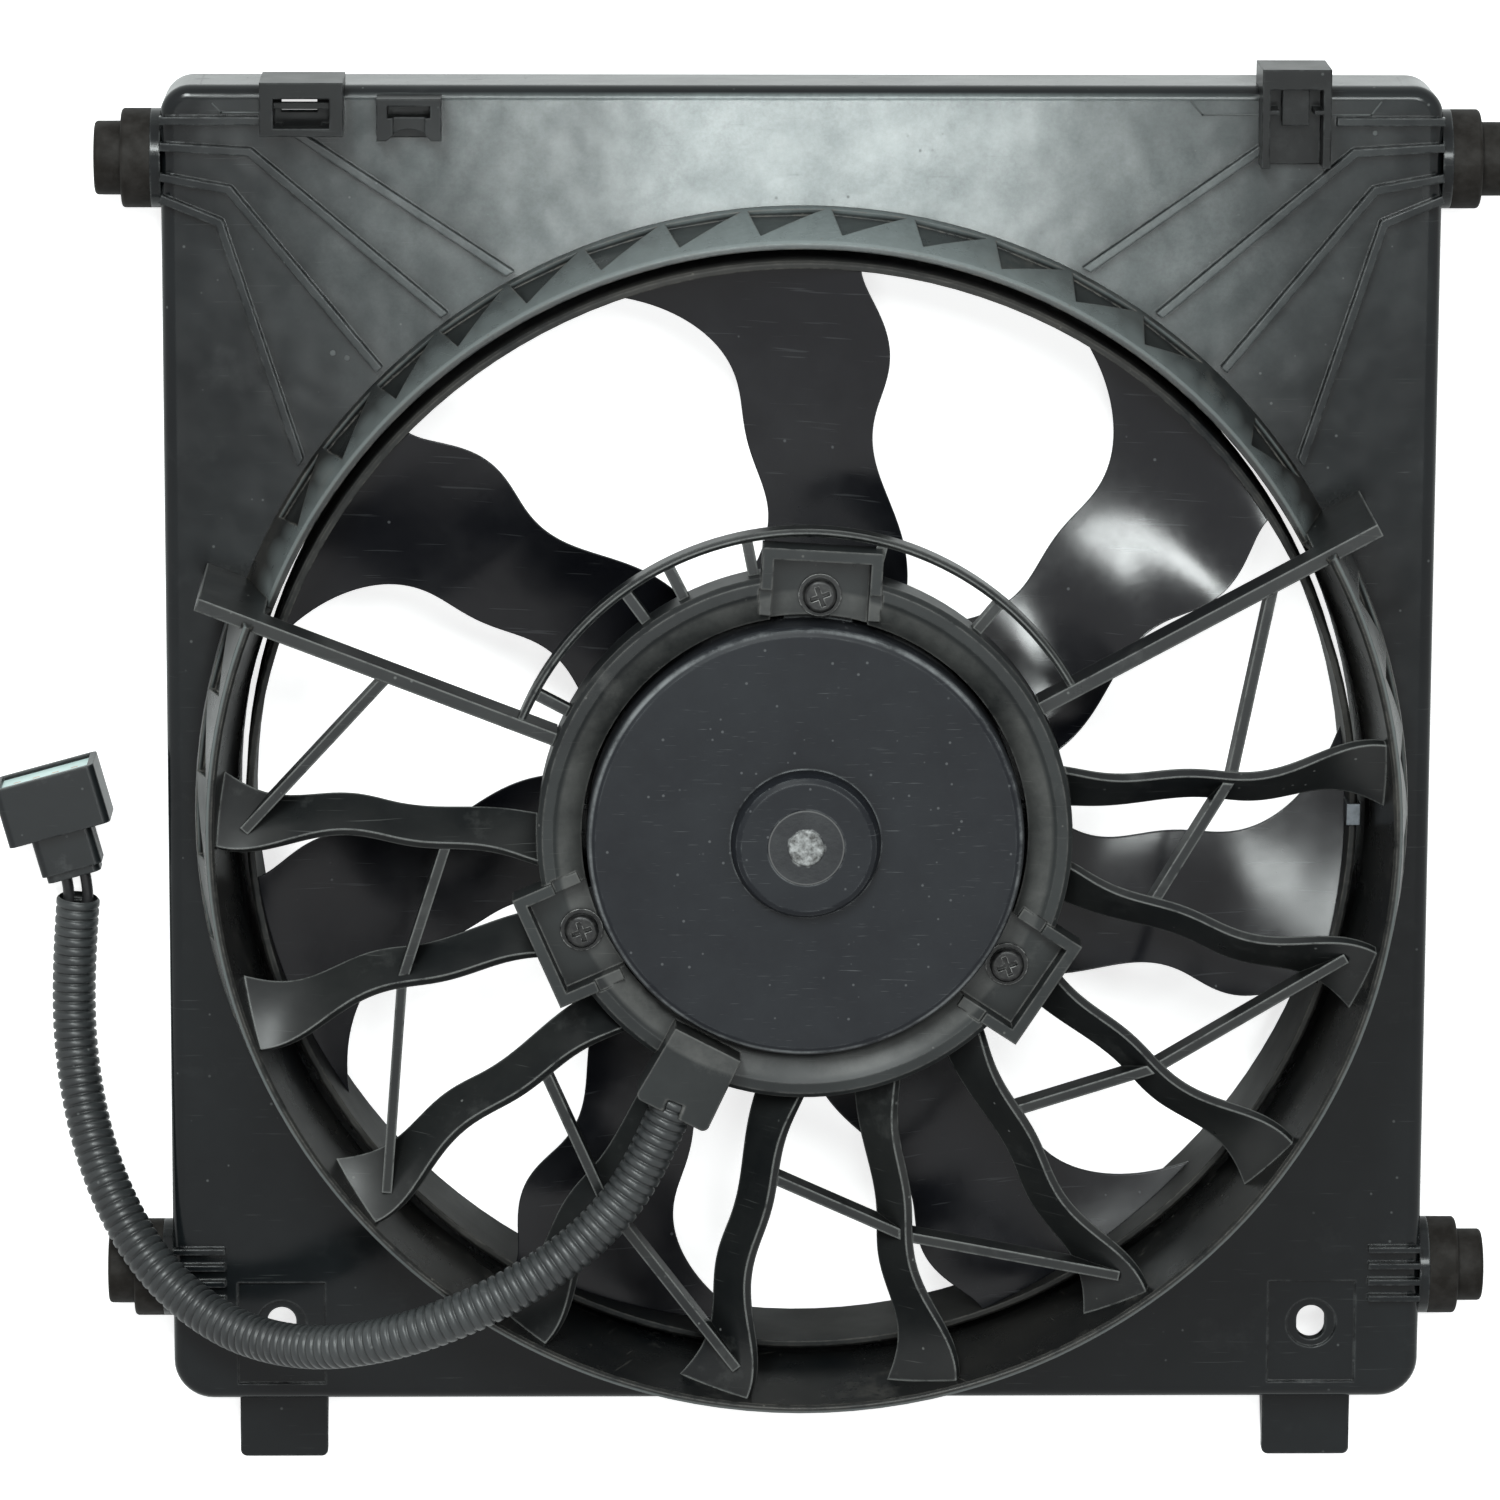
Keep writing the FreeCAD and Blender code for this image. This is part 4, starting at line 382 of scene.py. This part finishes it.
    def edge_share(self, radius):
        """1 along edges, 0 on flat faces."""
        geometry = self.add("ShaderNodeNewGeometry")
        dot = self.add("ShaderNodeVectorMath", operation="DOT_PRODUCT")
        self.link(self.soft_edges(radius), dot.inputs[0])
        self.link(geometry.outputs["Normal"], dot.inputs[1])
        return self.ramp(dot.outputs["Value"], FLAT_FACE, WORN_EDGE)

    def surface(self, color, roughness, normal, metallic=0.0, specular=0.5):
        shader = self.add("ShaderNodeBsdfPrincipled")
        shader.inputs["Metallic"].default_value = metallic
        shader.inputs["Specular IOR Level"].default_value = specular
        for name, value in (("Base Color", color), ("Roughness", roughness), ("Normal", normal)):
            if isinstance(value, tuple):
                shader.inputs[name].default_value = value + (1.0,)
            elif isinstance(value, float):
                shader.inputs[name].default_value = value
            elif value is not None:
                self.link(value, shader.inputs[name])
        self.link(shader.outputs["BSDF"], self.output.inputs["Surface"])
        return self.material


def recess_tones(sheet, place, slope, tone):
    """Painted shade on the floors and a painted highlight on the upper edges of the saw-tooth recesses, by depth
    under the wall's outer face.
    """
    depth = sheet.below_slope(place, *slope)
    floor = sheet.band(depth, *RECESS_FLOOR_DEPTHS)
    brow_highlight = sheet.band(depth, *RECESS_BROW_DEPTHS)
    tone = sheet.mix(sheet.times(floor, RECESS_FLOOR_SHADE_SHARE), tone, RECESS_FLOOR_SHADE)
    return sheet.mix(sheet.times(brow_highlight, RECESS_BROW_HIGHLIGHT_SHARE), tone, PAINTED_SHEEN_TONE)


def moulded_plastic(name, tones, roughness, specular, dusty=0.5, wear=0.5, ragged=(0.42, 0.60),
                    dents=0.0, sheen_level=0.0, slope=None, dust_ring=None):
    """Black moulded plastic: hazy clouds, painted shade in hollows, dusty patches and specks, hairlines and scuffed
    edges.

    The tones are clean, hazy and dusty. ragged is the noise range that breaks up the scuffed edges, slope
    a wall with saw-tooth recesses, whose floors get painted shade and whose upper edges a painted highlight, and
    dust_ring a ring round the axis where dust has settled. The argument after dents sets how much painted sheen, a
    lighter tone standing in for reflected lamp light, the top middle gets.
    """
    clean, haze, dust = tones
    sheet = NodeSheet(name)
    place = sheet.place()
    clouds = sheet.noise(place, 12.0, 7.0, 0.64)
    tone = sheet.mix(sheet.ramp(clouds, 0.38, 0.66), clean, haze)
    # Painted sheen: a lighter greenish grey near the top middle, on level faces only, standing in for reflected lamp
    # light
    if sheen_level:
        sheen_share = sheet.times(sheet.painted_sheen(place), sheen_level)
        if slope is None:
            sheen_share = sheet.times(sheen_share, sheet.facing_up())
        tone = sheet.mix(sheen_share, tone, PAINTED_SHEEN_TONE)
    # Painted shade in the recess floors and a painted highlight along their upper edges
    if slope is not None:
        tone = recess_tones(sheet, place, slope, tone)
    if dust_ring is not None:
        settled = sheet.ring_share(place, *dust_ring)
        cover = sheet.ramp(sheet.noise(place, 26.0, 7.0, 0.7), 0.34, 0.62, 0.05, 0.5)
        tone = sheet.mix(sheet.times(settled, cover), tone, dust)
    # Painted shade: near black in corners and hollows, where light is blocked
    tone = sheet.mix(sheet.times(sheet.hollow_shade(SHADE_DEPTH), SHADE_SHARE), tone, PAINTED_SHADE)

    # Dust in patches, hairlines and specks, and along scuffed edges
    patches = sheet.ramp(sheet.noise(place, 38.0, 8.0, 0.72), 0.58, 0.76, 0.0, dusty)
    lines = sheet.most(sheet.hairlines(place, 0.5, 0.02, 0.0005, 0.70),
                       sheet.hairlines(place, 2.2, 0.03, 0.0006, 0.71))
    marks = sheet.most(sheet.times(lines, 0.45), sheet.specks(place, 210.0, 0.11, 0.66))
    broken = sheet.ramp(sheet.noise(place, 190.0, 5.0, 0.7), *ragged)
    edge = sheet.times(sheet.edge_share(SCUFF_REACH), broken)
    share = sheet.most(patches, sheet.times(marks, 0.6))
    share = sheet.most(share, sheet.times(edge, wear))
    tone = sheet.mix(share, tone, dust)

    # Dusty places are duller
    stain = sheet.noise(place, 70.0, 6.0, 0.6)
    rough = sheet.ramp(stain, 0.3, 0.7, roughness - 0.03, roughness + 0.04)
    rough = sheet.math("ADD", rough, sheet.times(share, 0.25))
    normal = sheet.soft_edges(PLASTIC_ROUNDING)
    if dents:
        normal = sheet.bump(sheet.noise(place, DENT_SCALE, 3.0, 0.5), dents, DENT_HEIGHT, normal)
    normal = sheet.bump(sheet.noise(place, GRAIN_SCALE, 3.0), GRAIN_STRENGTH, GRAIN_HEIGHT, normal)
    return sheet.surface(tone, rough, normal, specular=specular)


def glossy_blade(name):
    """Smooth blade plastic with faint waves, wipe marks and a little road dust."""
    sheet = NodeSheet(name)
    place = sheet.place()
    clouds = sheet.noise(place, 15.0, 6.0, 0.6)
    tone = sheet.mix(sheet.ramp(clouds, 0.48, 0.78, 0.0, 0.5), BLADE_BLACK, BLADE_HAZE)
    wipes = sheet.hairlines(place, 0.9, 0.03, 0.0012, 0.66)
    dots = sheet.specks(place, 160.0, 0.09, 0.72)
    tone = sheet.mix(sheet.most(sheet.times(wipes, 0.16), sheet.times(dots, 0.5)), tone, BLADE_DUST)
    rough = sheet.ramp(sheet.noise(place, 60.0, 6.0, 0.6), 0.3, 0.75, 0.16, 0.26)
    normal = sheet.bump(sheet.noise(place, 26.0, 2.0), 0.2, 0.0008, sheet.soft_edges(0.0006))
    return sheet.surface(tone, rough, normal, specular=0.32)


def scratched_motor(name):
    """Matt black motor cover with painted shade in its hollows, fine scratches, chips and a worn bright rim."""
    sheet = NodeSheet(name)
    place = sheet.place()
    clouds = sheet.noise(place, 22.0, 7.0, 0.66)
    tone = sheet.mix(sheet.ramp(clouds, 0.36, 0.70), COVER_BLACK, COVER_HAZE)
    lines = sheet.most(sheet.hairlines(place, 0.15, 0.010, 0.00035, 0.69),
                       sheet.hairlines(place, 1.0, 0.012, 0.0004, 0.70))
    marks = sheet.most(sheet.times(lines, 0.8), sheet.specks(place, 300.0, 0.15, 0.60))
    # Painted shade: near black in corners and hollows, where light is blocked
    tone = sheet.mix(sheet.times(sheet.hollow_shade(SHADE_DEPTH), SHADE_SHARE), tone, PAINTED_SHADE)
    tone = sheet.mix(sheet.times(marks, 0.55), tone, COVER_SCRATCH)
    ragged = sheet.ramp(sheet.noise(place, 130.0, 5.0, 0.65), 0.40, 0.62)
    edge = sheet.times(sheet.edge_share(0.0010), ragged)
    tone = sheet.mix(sheet.times(edge, 0.75), tone, COVER_EDGE)
    rim = sheet.ring_share(place, *COVER_RIM)
    worn = sheet.ramp(sheet.noise(place, 45.0, 8.0, 0.75), 0.40, 0.62, 0.06, 0.75)
    tone = sheet.mix(sheet.times(rim, worn), tone, COVER_WORN)
    rough = sheet.ramp(clouds, 0.3, 0.7, 0.44, 0.52)
    normal = sheet.bump(sheet.noise(place, 1800.0, 2.0), 0.25, 0.00005, sheet.soft_edges(0.0008))
    return sheet.surface(tone, rough, normal, specular=0.18)


def plated_steel(name, color, roughness):
    """Bright or dark metal with faint stains."""
    sheet = NodeSheet(name)
    place = sheet.place()
    stain = sheet.noise(place, 260.0, 4.0, 0.6)
    tone = sheet.mix(sheet.ramp(stain, 0.4, 0.7), color, tuple(0.45 * part for part in color))
    normal = sheet.bump(sheet.noise(place, 900.0), 0.4, 0.00005, sheet.soft_edges(0.0003))
    return sheet.surface(tone, roughness, normal, metallic=1.0)


def blackened_screw(name):
    """Black coated steel, rubbed grey along its edges, with painted shade in the recess."""
    sheet = NodeSheet(name)
    place = sheet.place()
    clouds = sheet.noise(place, 500.0, 5.0, 0.65)
    tone = sheet.mix(sheet.ramp(clouds, 0.42, 0.68), SCREW_BLACK, SCREW_HAZE)
    edge = sheet.times(sheet.edge_share(0.0005), sheet.ramp(sheet.noise(place, 600.0), 0.38, 0.6))
    tone = sheet.mix(sheet.times(edge, 0.8), tone, SCREW_RUBBED)
    # Painted shade in the cross recess
    tone = sheet.mix(sheet.hollow_shade(SCREW_SHADE_DEPTH), tone, SCREW_RECESS_SHADE)
    normal = sheet.bump(sheet.noise(place, 900.0), 0.5, 0.00006, sheet.soft_edges(0.0003))
    return sheet.surface(tone, 0.34, normal, specular=0.25)


def dull_piece(name, color, roughness, metallic=0.0, wear=0.35, specular=0.35):
    """Plain finish with a little cloudiness and grain, for pieces inside or small ones."""
    sheet = NodeSheet(name)
    place = sheet.place()
    stain = sheet.noise(place, 180.0, 4.0, 0.6)
    worn = tuple(min(1.0, part * (1 + wear) + 0.01) for part in color)
    tone = sheet.mix(sheet.ramp(stain, 0.4, 0.7), color, worn)
    normal = sheet.bump(sheet.noise(place, 1500.0), 0.5, 0.00005, sheet.soft_edges(0.0004))
    return sheet.surface(tone, roughness, normal, metallic=metallic, specular=specular)


def sealed_cap(name):
    """Black cap with a fine turned ring and a blotchy grey sealing spot."""
    sheet = NodeSheet(name)
    place = sheet.place()
    reach = sheet.from_axis(place)
    wander = sheet.times(sheet.noise(place, 420.0, 4.0), SPOT_WANDER)
    spot = sheet.ramp(sheet.math("ADD", reach, wander), SPOT_R + SPOT_SOFT, SPOT_R)
    blotch = sheet.mix(sheet.ramp(sheet.noise(place, 520.0, 6.0, 0.7), 0.36, 0.66), SEAL_DARK, SEAL_PALE)
    black = sheet.mix(sheet.ramp(sheet.noise(place, 90.0, 6.0, 0.65), 0.4, 0.7), CAP_BLACK, CAP_HAZE)
    off_ring = sheet.math("ABSOLUTE", sheet.math("SUBTRACT", reach, TURNED_RING_R), 0.0)
    ring = sheet.ramp(off_ring, TURNED_RING_SOFT_HALF, TURNED_RING_HALF)
    black = sheet.mix(sheet.times(ring, 0.7), black, CAP_RING)
    marks = sheet.specks(place, 260.0, 0.14, 0.60)
    black = sheet.mix(sheet.times(marks, 0.5), black, CAP_SPECKS)
    normal = sheet.bump(sheet.noise(place, 900.0, 3.0), 0.6, 0.0001, sheet.soft_edges(0.0005))
    return sheet.surface(sheet.mix(spot, black, blotch), 0.44, normal, specular=0.26)


panel_plastic = moulded_plastic("panel_plastic", (BLACK, HAZE, DUST), 0.155, 0.22,
                                dusty=0.10, wear=0.55, dents=0.55, sheen_level=1.0)
clip_plastic = moulded_plastic("clip_plastic", (CLIP_BLACK, CLIP_HAZE, DUST), 0.30, 0.14,
                               dusty=0.2, wear=0.45)
band_slope = moulded_plastic("band_slope", (BLACK, BROWN_HAZE, BROWN_DUST), 0.28, 0.26,
                             dusty=0.5, wear=0.8, sheen_level=0.75, slope=UPPER_BAND_SLOPE)
collar_plastic = moulded_plastic("collar_plastic", (BLACK, COLLAR_HAZE, BROWN_DUST), 0.28, 0.20,
                                 dusty=0.55, wear=0.9, ragged=(0.36, 0.56), slope=COLLAR_SLOPE)
rotor_band = moulded_plastic("rotor_band", (BLACK, BROWN_HAZE, BROWN_DUST), 0.42, 0.12,
                             dusty=0.4, wear=0.5)
arm_plastic = moulded_plastic("arm_plastic", (BLACK, ARM_HAZE, ARM_DUST), 0.30, 0.25,
                              dusty=0.2, wear=1.0, ragged=(0.30, 0.48))
ring_plastic = moulded_plastic("ring_plastic", (RING_BLACK, RING_HAZE, RING_DUST), 0.38, 0.22,
                               dusty=0.35, wear=0.75, ragged=(0.36, 0.54), dust_ring=RING_SLOPE)
blade_plastic = glossy_blade("blade_plastic")
motor_cover = scratched_motor("motor_cover")
cap_finish = sealed_cap("cap_finish")
rubber = dull_piece("isolator_rubber", (0.0090, 0.0078, 0.0066), 0.60, specular=0.10)
screw_steel = blackened_screw("screw_steel")
bright_steel = plated_steel("bright_steel", (0.62, 0.62, 0.62), 0.25)
dark_clip = plated_steel("dark_clip", (0.10, 0.11, 0.12), 0.35)
conduit_plastic = moulded_plastic("conduit_plastic", (CONDUIT_BLACK, CONDUIT_HAZE, CONDUIT_DUST), 0.34, 0.35,
                                  dusty=0.3, wear=0.35)
mark_plastic = dull_piece("mark_plastic", (0.045, 0.050, 0.050), 0.35, specular=0.25)
wire_plastic = dull_piece("wire_plastic", (0.012, 0.012, 0.013), 0.4)
plug_plastic = moulded_plastic("plug_plastic", (BLACK, HAZE, DUST), 0.32, 0.3)
liner_plastic = dull_piece("liner_plastic", (0.55, 0.70, 0.68), 0.35, wear=0.1)
copper = dull_piece("copper", (0.55, 0.22, 0.10), 0.35, metallic=0.8)
core_steel = dull_piece("core_steel", (0.30, 0.30, 0.31), 0.45, metallic=0.9)
bell_steel = dull_piece("bell_steel", (0.05, 0.05, 0.052), 0.45, metallic=0.6)
ferrite = dull_piece("ferrite", (0.06, 0.06, 0.062), 0.6)
board_green = dull_piece("board_green", (0.02, 0.14, 0.06), 0.4)
can_aluminium = dull_piece("can_aluminium", (0.60, 0.60, 0.62), 0.35, metallic=1.0)

ARMS = ["support_arm_%02d" % number for number in range(1, 13)]
BLADES = ["fan_blade_%d" % number for number in range(1, 8)]
FINISHES = [
    (panel_plastic, ["shroud_panel", "panel_walls", "isolator_sockets",
                     "lower_foot_left", "lower_foot_right"]),
    (clip_plastic, ["upper_left_clip", "upper_right_clip", "small_clip"]),
    (band_slope, ["upper_band"]),
    (collar_plastic, ["collar"]),
    (arm_plastic, ARMS + ["arm_braces", "guard_hoop"]),
    (ring_plastic, ["motor_ring", "lead_block"]),
    (blade_plastic, BLADES + ["fan_hub"]),
    (rotor_band, ["fan_band"]),
    (motor_cover, ["motor_housing"]),
    (cap_finish, ["end_cap"]),
    (rubber, ["rubber_isolators"]),
    (screw_steel, ["motor_screws", "screw_washers", "fan_screws"]),
    (bright_steel, ["bearing_outer_rings", "bearing_inner_rings", "bearing_balls", "rotor_shaft",
                    "wave_washer", "shaft_clip"]),
    (dark_clip, ["balance_clip"]),
    (bell_steel, ["rotor_bell"]),
    (ferrite, ["rotor_magnets"]),
    (core_steel, ["stator_core"]),
    (copper, ["stator_windings", "plug_terminals"]),
    (board_green, ["circuit_board"]),
    (can_aluminium, ["capacitors"]),
    (conduit_plastic, ["conduit"]),
    (wire_plastic, ["harness_wires"]),
    (plug_plastic, ["plug_body"]),
    (liner_plastic, ["plug_liner"]),
]
for finish, names in FINISHES:
    for name in names:
        mesh = nodes[name].data
        mesh.materials.clear()
        mesh.materials.append(finish)


# Harness

def route_curve():
    """The conduit's centreline as one smooth curve."""
    curve = bpy.data.curves.new("conduit_route", "CURVE")
    curve.dimensions = "3D"
    curve.resolution_u = CURVE_STEPS
    spline = curve.splines.new("NURBS")
    spline.points.add(len(CONDUIT_ROUTE) - 1)
    for point, place in zip(spline.points, CONDUIT_ROUTE):
        point.co = (place[0], place[1], place[2], 1.0)
    spline.order_u = 3
    spline.use_endpoint_u = True
    route = bpy.data.objects.new("conduit_route", curve)
    bpy.context.scene.collection.objects.link(route)
    return route


def route_points(route):
    """Points along the curve, from the lead block to the cut end."""
    mesh = bpy.data.meshes.new_from_object(route)
    points = [vertex.co.copy() for vertex in mesh.vertices]
    bpy.data.meshes.remove(mesh)
    return points


def one_ridge(pitch):
    """A sleeve one pitch long round the X axis, narrow at its ends and swelled in the middle."""
    bpy.ops.object.select_all(action="DESELECT")
    bpy.ops.mesh.primitive_circle_add(vertices=RIDGE_SIDES, radius=GROOVE_R, rotation=(0, math.pi / 2, 0))
    ridge = bpy.context.object
    ridge.name = "ribbed_conduit"
    bpy.ops.object.transform_apply(location=True, rotation=True, scale=True)
    bpy.ops.object.mode_set(mode="EDIT")
    bpy.ops.mesh.select_all(action="SELECT")
    radius = GROOVE_R
    reached = 0.0
    for share, next_radius in RIDGE_PROFILE:
        step = share * pitch - reached
        bpy.ops.mesh.extrude_region_move(TRANSFORM_OT_translate={"value": (step, 0, 0)})
        reached += step
        swell = next_radius / radius
        bpy.ops.transform.resize(value=(1, swell, swell), center_override=(reached, 0, 0))
        radius = next_radius
    bpy.ops.object.mode_set(mode="OBJECT")
    return ridge


def ribbed_conduit():
    """One ridge is repeated along X and bent along the route."""
    route = route_curve()
    points = route_points(route)
    length = sum((after - before).length for before, after in zip(points, points[1:]))
    count = round(length / RIDGE_PITCH)
    pitch = length / count
    piece = one_ridge(pitch)
    array = piece.modifiers.new("ridges", "ARRAY")
    array.count = count
    array.use_merge_vertices = True
    array.merge_threshold = pitch * MERGE_SHARE
    bend = piece.modifiers.new("route", "CURVE")
    bend.object = route
    bend.deform_axis = "POS_X"
    bpy.ops.object.modifier_apply(modifier="ridges")
    bpy.ops.object.modifier_apply(modifier="route")
    bpy.ops.object.shade_smooth()
    bpy.data.objects.remove(route)
    piece.data.materials.append(conduit_plastic)
    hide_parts("conduit")
    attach(piece, "fan_frame")


ribbed_conduit()


# Small moulded marks on the panel's face

def on_face(points):
    """Places on the panel's face, in metres, from places in millimetres from the fan axis."""
    return [Vector((x * MM, y * MM + AXIS_Y, PANEL_FACE)) for x, y in points]


def raised_line(name, points):
    """Low bead along a bent line on the panel's face."""
    bars = []
    for start, end in zip(points, points[1:]):
        run = end - start
        bpy.ops.object.select_all(action="DESELECT")
        bpy.ops.mesh.primitive_cube_add(
            size=1, location=(start + end) / 2, rotation=(0, 0, math.atan2(run.y, run.x)),
            scale=(run.length + BEAD_WIDTH, BEAD_WIDTH, 2 * BEAD_HEIGHT),
        )
        bpy.ops.object.transform_apply(location=True, rotation=True, scale=True)
        bars.append(bpy.context.object)
    bpy.ops.object.select_all(action="DESELECT")
    for piece in bars:
        piece.select_set(True)
    bpy.context.view_layer.objects.active = bars[0]
    bpy.ops.object.join()
    finish_mark(bars[0], name)


def ejector_mark(name, place, radius):
    """Low round mark that an ejector pin left."""
    bpy.ops.object.select_all(action="DESELECT")
    bpy.ops.mesh.primitive_cylinder_add(
        vertices=MARK_SIDES, radius=radius, depth=2 * BEAD_HEIGHT, location=place,
    )
    bpy.ops.object.transform_apply(location=True, rotation=True, scale=True)
    finish_mark(bpy.context.object, name)


def finish_mark(piece, name):
    """Name, material and body that all the marks share."""
    piece.name = name
    piece.data.materials.append(mark_plastic)
    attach(piece, "fan_frame")


for name, points in MOULDING_LINES:
    raised_line(name, on_face(points))
for number, (place, radius) in enumerate(zip(on_face(EJECTOR_PLACES), EJECTOR_RADII), 1):
    ejector_mark("ejector_mark_%d" % number, place, radius)


# Floor, light and camera

def white_backdrop():
    """Pale floor that shows white to the camera and keeps the fan's shadow."""
    bpy.ops.object.select_all(action="DESELECT")
    bpy.ops.mesh.primitive_plane_add(size=FLOOR_SIZE, location=(0, 0, FLOOR_HEIGHT))
    floor = bpy.context.object
    floor.name = "studio_floor"
    sheet = NodeSheet("floor_white")
    rays = sheet.add("ShaderNodeLightPath")
    plain = sheet.add("ShaderNodeBsdfDiffuse")
    plain.inputs["Color"].default_value = FLOOR_TONE
    glow = sheet.add("ShaderNodeEmission")
    glow.inputs["Strength"].default_value = FLOOR_GLOW
    both = sheet.add("ShaderNodeAddShader")
    mix = sheet.add("ShaderNodeMixShader")
    sheet.link(plain.outputs[0], both.inputs[0])
    sheet.link(glow.outputs[0], both.inputs[1])
    sheet.link(rays.outputs["Is Camera Ray"], mix.inputs["Fac"])
    sheet.link(plain.outputs[0], mix.inputs[1])
    sheet.link(both.outputs[0], mix.inputs[2])
    sheet.link(mix.outputs[0], sheet.output.inputs["Surface"])
    floor.data.materials.append(sheet.material)


def studio_world():
    """Even light all round, white where the camera, a glossy face or clear plastic shows it."""
    world = bpy.data.worlds.new("studio")
    bpy.context.scene.world = world
    world.use_nodes = True
    tree = world.node_tree
    background = tree.nodes["Background"]
    rays = tree.nodes.new("ShaderNodeLightPath")
    seen = tree.nodes.new("ShaderNodeMath")
    seen.operation = "MAXIMUM"
    seen_too = tree.nodes.new("ShaderNodeMath")
    seen_too.operation = "MAXIMUM"
    level = tree.nodes.new("ShaderNodeMapRange")
    level.inputs["To Min"].default_value = WORLD_LEVEL
    level.inputs["To Max"].default_value = 1.0
    tree.links.new(rays.outputs["Is Camera Ray"], seen.inputs[0])
    tree.links.new(rays.outputs["Is Glossy Ray"], seen.inputs[1])
    tree.links.new(seen.outputs[0], seen_too.inputs[0])
    tree.links.new(rays.outputs["Is Transmission Ray"], seen_too.inputs[1])
    tree.links.new(seen_too.outputs[0], level.inputs["Value"])
    tree.links.new(level.outputs["Result"], background.inputs["Strength"])
    background.inputs["Color"].default_value = (1, 1, 1, 1)


def soft_box(name, place, aim, width, height, power):
    """Flat rectangular lamp turned towards the point it is aimed at."""
    lamp = bpy.data.lights.new(name, "AREA")
    lamp.shape = "RECTANGLE"
    lamp.size = width
    lamp.size_y = height
    lamp.energy = power
    lamp.color = LAMP_TINT
    box = bpy.data.objects.new(name, lamp)
    box.location = place
    box.rotation_euler = (Vector(aim) - Vector(place)).to_track_quat("-Z", "Y").to_euler()
    bpy.context.scene.collection.objects.link(box)


def photo_camera():
    """Camera above the fan, leaning towards the clip edge, with the clip edge up."""
    tilt, turn_aside, roll = CAMERA_TILT, CAMERA_TURN, CAMERA_ROLL
    level = math.cos(turn_aside)
    view = Vector((math.sin(turn_aside), -math.sin(tilt) * level, -math.cos(tilt) * level))
    right = view.cross(Vector((0, math.cos(tilt), -math.sin(tilt)))).normalized()
    up = right.cross(view)
    turned_right = math.cos(roll) * right - math.sin(roll) * up
    turned_up = math.sin(roll) * right + math.cos(roll) * up
    data = bpy.data.cameras.new("photo_camera")
    data.sensor_width = SENSOR_WIDTH
    data.lens = SENSOR_WIDTH * PIXELS_PER_METRE * CAMERA_DISTANCE / PICTURE_WIDTH
    data.clip_end = FARTHEST_SEEN
    camera = bpy.data.objects.new("photo_camera", data)
    turn = Matrix((turned_right, turned_up, -view)).transposed().to_4x4()
    camera.matrix_world = Matrix.Translation(CAMERA_AIM - CAMERA_DISTANCE * view) @ turn
    bpy.context.scene.collection.objects.link(camera)
    bpy.context.scene.camera = camera


white_backdrop()
studio_world()
for box in SOFT_BOXES:
    soft_box(*box)
photo_camera()
bpy.context.scene.view_settings.view_transform = "Standard"
